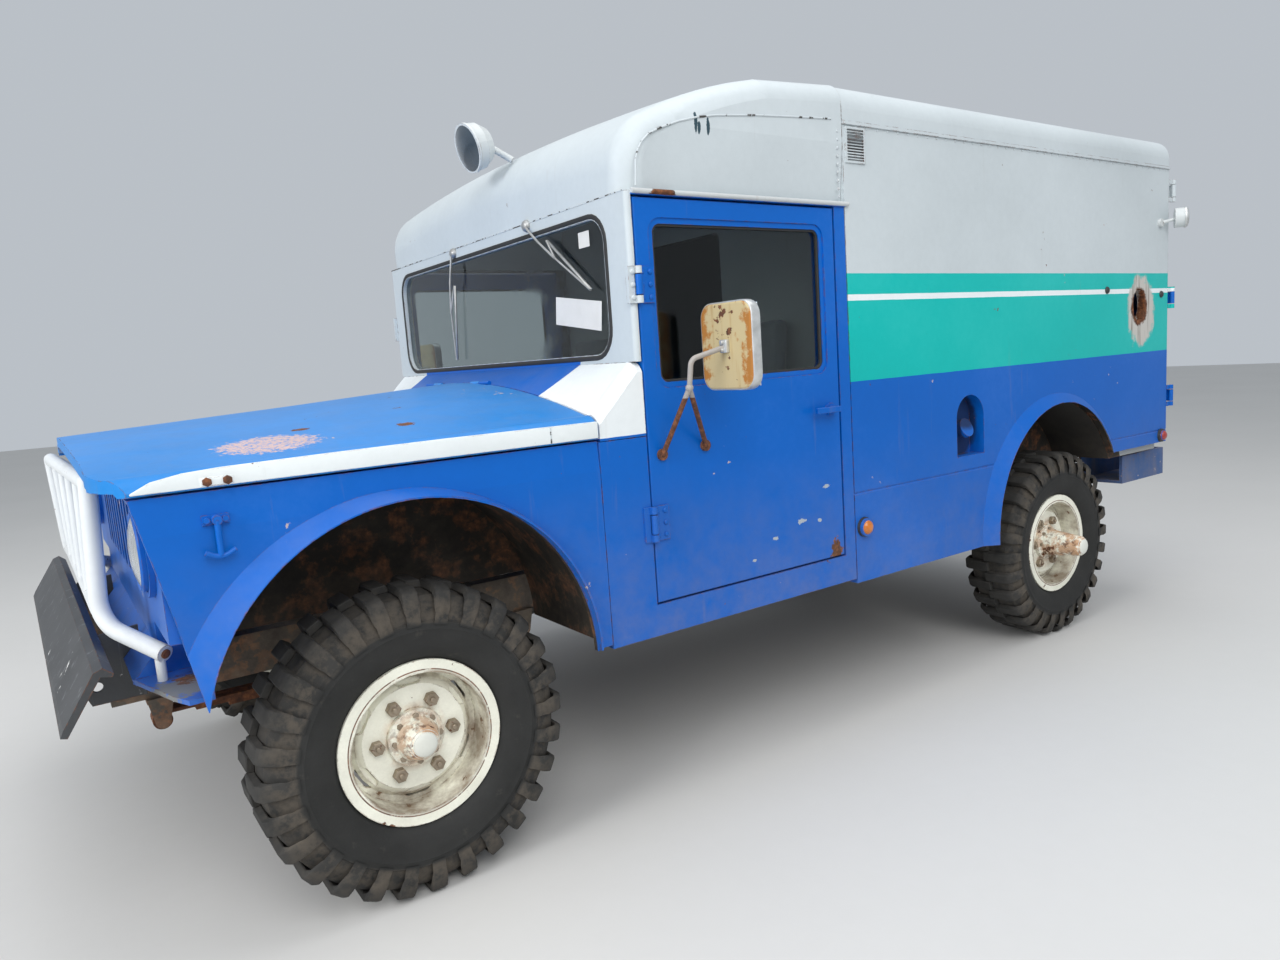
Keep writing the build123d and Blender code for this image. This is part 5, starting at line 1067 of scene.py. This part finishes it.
# Windows and wipers
def windscreen_fittings():
    opening = (1.786, 0.462)
    rubber = frame_round("windscreen_rubber", spot(-777, 0, 1686), FACING_FRONT, opening, 0.1, 0.017, 0.019)
    finish(rubber, "rubber")
    for name, centre, size, margin, tilt in (
            ("windscreen_sticker", spot(-774, 672, 1616), (0.29, 0.094), 0.006, -8.0),
            ("windscreen_label", spot(-774, 742, 1846), (0.066, 0.05), 0.004, 0.0)):
        paper = flat_sheet(name, centre, FACING_FRONT, size)
        bpy.ops.mesh.inset(thickness=margin)
        select_all()
        draw_out((0.0008, 0.0, 0.0))
        close_up()
        finish(turn(paper, tilt, "X", centre), "paper")
    for name, pivot, elbow, tips in (
            ("near", (-762, 392, 1944), (-744, 596, 1806), ((-752, 536, 1872), (-752, 792, 1682))),
            ("far", (-762, -251, 1936), (-744, -300, 1700), ((-752, -262, 1806), (-752, -306, 1502)))):
        base = dome("wiper_post_" + name, spot(*pivot), 0.021, 0.02, turned=-90.0)
        middle = spot(-741, (pivot[1] + elbow[1]) / 2, (pivot[2] + elbow[2]) / 2)
        arm = pipe("wiper_arm_" + name, [spot(pivot[0] + 14, *pivot[1:]), middle, spot(*elbow)], 0.0042)
        bow = [spot(*tips[0]), spot(-745, *elbow[1:]), spot(*tips[1])]
        spine = pipe("wiper_spine_" + name, bow, 0.0036)
        blade = rod("wiper_blade_" + name, spot(-756, *tips[0][1:]), spot(-756, *tips[1][1:]), 0.005, 8)
        whole = finish(unite([base, arm, spine, blade], "wiper_" + name), "steel")
        if name == "near":
            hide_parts("wipers")


def door_fittings():
    # window rubbers and hinge bolts on both cab doors
    opening = (0.726, 0.486)
    rubber = frame_round("door_rubber_left", spot(-1218, 986, 1616), FACING_LEFT, opening, 0.03, 0.009, 0.014)
    on_both_sides(rubber, "rubber", "door_left")
    on_door = ((-800, 936), (-830, 936), (-800, 1674), (-830, 1674))
    for name, paint, body, rows in (
            ("door_hinge_bolts_left", "bolt_blue", "door_left", on_door),
            ("pillar_hinge_bolts_left", "bolt_white", "chassis", ((-765, 1674),))):
        bolts = [dome("bolt", spot(x, 1014, z + shift), 0.0085, 0.0055, 10)
                 for x, z in rows for shift in (-38, 0, 38)]
        on_both_sides(unite(bolts, name), paint, body)


# Body trim
def hood_moulding():
    # the white strip along the hood's lower edge, drawn from a bar whose front end comes to a point
    bar = plate("hood_moulding_left", spot(-603, 1000, 1227), spot(618, 1015, 1276))
    edit_all(bar)
    for x in (-439, -120, 180, 430, 510, 575):
        select_all()
        bpy.ops.mesh.bisect(plane_co=spot(x, 0, 0), plane_no=(1.0, 0.0, 0.0))
    for x, drop in ((618, -45), (575, -24), (510, -12), (430, -7), (180, -3)):
        at = spot(x, 0, 0).x
        push(bar, "points", lambda co: abs(co.x - at) < 0.001 and co.z > 1.25, (0.0, 0.0, drop / 1000.0))
    leave_edit()
    smooth_edges(bar, 0.006, 3)
    on_both_sides(bar, "moulding", "hood")
    bracket = plate("hood_bracket_left", spot(404, 1012, 1229), spot(476, 1018, 1249))
    on_both_sides(smooth_edges(bracket, 0.002), "moulding", "hood")
    heads = [hex_head("bolt", spot(x, 1017, 1239), 0.011, 0.007) for x in (418, 462)]
    on_both_sides(unite(heads, "hood_bracket_bolts_left"), "rusty", "hood")
    joint = plate("moulding_joint_left", spot(-445, 1014, 1228), spot(-440, 1016, 1274))
    on_both_sides(smooth_edges(joint, 0.0008, 1), "sealant", "hood")


# The seam over each door, ahead of the front axle and above the ground in millimetres
SEAM_ARC = ((-803, 1966), (-809, 2043), (-820, 2072), (-835, 2095), (-862, 2120), (-902, 2139), (-978, 2166),
            (-1055, 2186), (-1134, 2199), (-1298, 2215), (-1473, 2227), (-1660, 2238))


def roof_trim():
    # the sealed seam over each door, the drip moulding's tube, rivets and the header's seam
    seam = pipe("roof_seam_left", [spot(x, 1008.5, z) for x, z in SEAM_ARC], 0.0032)
    on_both_sides(seam, "sealant")
    tube = rod("drip_tube_left", spot(-781, 1013, 1950), spot(-1729, 1013, 1950), 0.0085, 14)
    on_both_sides(tube, "drip")
    header = plate("header_seam", spot(-763, -1000, 1951.5), spot(-760.5, 1000, 1955))
    finish(smooth_edges(header, 0.0006, 1), "sealant")
    first = dome("rivets", spot(-1690, 1008, 1975), 0.0052, 0.003, 8)
    upwards = [(0.0, 0.0, 0.028 * number) for number in range(1, 9)]
    backwards = [(-0.04 - 0.058 * number, 0.0, 0.245) for number in range(1, 42)]
    rivets = [first] + [another(first, "rivets", by=by) for by in upwards + backwards]
    on_both_sides(unite(rivets, "body_rivets_left"), "white_trim")
    joint = plate("roof_joint_left", spot(-3018, 1007, 2225), spot(-3010, 1010, 2236))
    on_both_sides(smooth_edges(joint, 0.001, 1), "white_trim")


# Outlines of the lamps' turned parts, each point outwards and from the axis
HEADLAMP_LENS = ((-0.004, 0.0), (-0.004, 0.087), (0.004, 0.087), (0.009, 0.078), (0.015, 0.056),
                 (0.019, 0.03), (0.02, 0.0))
HEADLAMP_RIM = ((-0.01, 0.086), (-0.01, 0.099), (0.004, 0.099), (0.009, 0.094), (0.006, 0.086),
                (-0.01, 0.086))
SPOTLIGHT_LENS = ((0.03, 0.0), (0.03, 0.083), (0.036, 0.083), (0.04, 0.07), (0.05, 0.045), (0.054, 0.0))
REAR_LAMP_LENS = ((-0.004, 0.0), (-0.004, 0.052), (0.004, 0.052), (0.009, 0.047), (0.012, 0.044),
                  (0.016, 0.03), (0.018, 0.0))


def lamp_fittings():
    # lenses and rims of the head lamps, markers, tail lights, round rear lamps and the roof's spotlight
    head = spot(600, 801, 1071)
    on_both_sides(lathe("headlamp_lens_left", HEADLAMP_LENS, head, 40, -90.0), "headlamp")
    on_both_sides(lathe("headlamp_rim_left", HEADLAMP_RIM, head, 40, -90.0), "fender")
    for name, x, z, radius, proud, paint in (
            ("tail_light", -4091, 872, 0.0275, 0.03, "red"),
            ("side_marker", -1762, 766, 0.030, 0.034, "amber")):
        on_both_sides(dome(name + "_lens_left", spot(x, 1008, z), radius, proud, 24), paint)
        rim = ((0.0, radius), (0.0, radius + 0.008), (0.01, radius + 0.0065), (0.012, radius), (0.0, radius))
        on_both_sides(lathe(name + "_rim_left", rim, spot(x, 1008, z), 24), "wiper")
    on_roof = spot(-698, 170, 2261)
    face = lathe("spotlight_lens", SPOTLIGHT_LENS, on_roof, 36, -90.0)
    finish(turn(face, 16.0, "Y", on_roof), "dark_lens")
    rear = lathe("rear_lamp_lens_left", REAR_LAMP_LENS, spot(-4150, 1086, 1978), 28, 30.0)
    on_both_sides(rear, "silver")
    for z, x in ((1628, -3538), (1602, -4076)):
        on_both_sides(dome("side_cap_%d_left" % -x, spot(x, 1007, z), 0.017, 0.012, 18), "wiper")


# Smaller fittings
def mirror_fittings():
    # a bright frame round each mirror's back, its clamp and the glass that looks to the rear
    back = (0.236, 0.266)
    trim = frame_round("mirror_trim_left", spot(-1008, 1185, 1472), FACING_FRONT, back, 0.048, 0.01, 0.034)
    on_both_sides(trim, "silver", "door_left")
    clamp = plate("mirror_clamp_left", spot(-972, 1168, 1452), spot(-958, 1202, 1492))
    smooth_edges(clamp, 0.004)
    screws = [rod("screw", spot(-962, 1185, z), spot(-950, 1185, z), 0.006, 10) for z in (1461, 1483)]
    on_both_sides(unite([clamp] + screws, "mirror_clamp_left"), "silver", "door_left")
    mirror = plate("mirror_glass_left", spot(-1010, 1079, 1349), spot(-1006, 1291, 1595))
    on_both_sides(smooth_edges(mirror, 0.0015), "mirror_glass", "door_left")


def guard_fittings():
    # a rusty bolt in each open end of the guard's lower tube
    end = spot(573, 780, 802)
    along = Vector((-0.119, 0.18, -0.068)).normalized()
    bolt = rod("guard_bolts_left", end - along * 0.004, end + along * 0.006, 0.012, 12)
    on_both_sides(bolt, "rusty")


# Seats
PAD_GRID = 0.010
SWELL_PRESSURE = 4.0
SWELL_FRAMES = 20
SWELL_LIMIT = 0.012
SEAM_REACH = 0.006
SEAM_DRAW = 0.985


def pad(name, low, high, axis, seam):
    # a pad blown up as cloth from a smaller block, then drawn in along the seam sewn across the axis
    low = spot(*low)
    high = spot(*high)
    piece = plate(name, low, high)
    middle = (low + high) / 2
    edit_all(piece)
    bpy.ops.mesh.bevel(offset=0.022, segments=3, affect="EDGES")
    select_all()
    bpy.ops.mesh.subdivide(number_cuts=2)
    leave_edit()
    piece.data.remesh_voxel_size = PAD_GRID
    bpy.ops.object.voxel_remesh()
    first = [point.co.copy() for point in piece.data.vertices]
    cloth = piece.modifiers.new("swell", "CLOTH")
    cloth.settings.quality = 4
    cloth.settings.use_pressure = True
    cloth.settings.uniform_pressure_force = SWELL_PRESSURE
    cloth.settings.effector_weights.gravity = 0.0
    for number in range(1, SWELL_FRAMES + 1):
        scene.frame_set(number)
    bpy.ops.object.modifier_apply(modifier="swell")
    scene.frame_set(1)
    for point, before in zip(piece.data.vertices, first):
        moved = point.co - before
        if moved.length > SWELL_LIMIT:
            point.co = before + moved.normalized() * SWELL_LIMIT
    edit_all(piece)
    draw = [1.0 if number == axis else SEAM_DRAW for number in range(3)]
    stretch(piece, "points", lambda co: abs(co[axis] - seam) < SEAM_REACH, draw, middle)
    leave_edit()
    modifier = piece.modifiers.new("soft", "SUBSURF")
    modifier.levels = 1
    bpy.ops.object.modifier_apply(modifier="soft")
    return piece


def seats():
    # a cushion and a leaning back on each side of the cab
    cushion = pad("seat_cushion_left", (-1576, 306, 925), (-1146, 754, 1026), 2, spot(0, 0, 1004).z)
    back = pad("seat_back_left", (-1650, 306, 1006), (-1576, 754, 1578), 0, spot(-1594, 0, 0).x)
    turn(back, -6.0, "Y", spot(-1612, 530, 1290))
    for piece in (cushion, back):
        other = another(piece, piece.name.replace("left", "right"), mirror=True)
        for one in (piece, other):
            finish(one, "cloth")
    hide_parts("seats")


wheels()
windscreen_fittings()
door_fittings()
hood_moulding()
roof_trim()
lamp_fittings()
mirror_fittings()
guard_fittings()
seats()


# The floor, lights and camera
def studio():
    deselect()
    bpy.ops.mesh.primitive_plane_add(size=60.0, location=(0.0, 0.0, 0.0))
    floor = bpy.context.object
    floor.name = "studio_floor"
    pale = Finish("studio_floor_paint", (0.62, 0.61, 0.59), 0.9).fade(0.04, 0.6)
    floor.data.materials.append(pale.done())
    world = bpy.data.worlds.new("soft_sky")
    world.use_nodes = True
    sky = world.node_tree.nodes["Background"].inputs
    sky["Color"].default_value = (0.82, 0.88, 0.95, 1.0)
    sky["Strength"].default_value = 0.6
    scene.world = world
    for name, at, aim, size, power in (
            ("key_light", (3.0, 7.5, 7.0), (0.0, 0.5, 1.0), 6.0, 430.0),
            ("top_light", (-1.0, 1.0, 9.0), (0.0, 0.0, 0.0), 7.0, 300.0),
            ("front_light", (9.0, 2.0, 4.5), (1.5, 0.0, 1.0), 4.0, 420.0)):
        bpy.ops.object.light_add(type="AREA", location=at)
        lamp = bpy.context.object
        lamp.name = name
        lamp.data.size = size
        lamp.data.energy = power
        lamp.rotation_euler = (Vector(aim) - Vector(at)).to_track_quat("-Z", "Y").to_euler()


def camera():
    tilt = (radians(82.2378), radians(3.8731), radians(144.8281))
    bpy.ops.object.camera_add(location=(2.5103, 3.2251, 1.4477), rotation=tilt)
    view = bpy.context.object
    view.name = "photo_camera"
    view.data.sensor_width = 36.0
    view.data.lens = 24.73
    view.data.clip_start = 0.05
    scene.camera = view


camera()
studio()
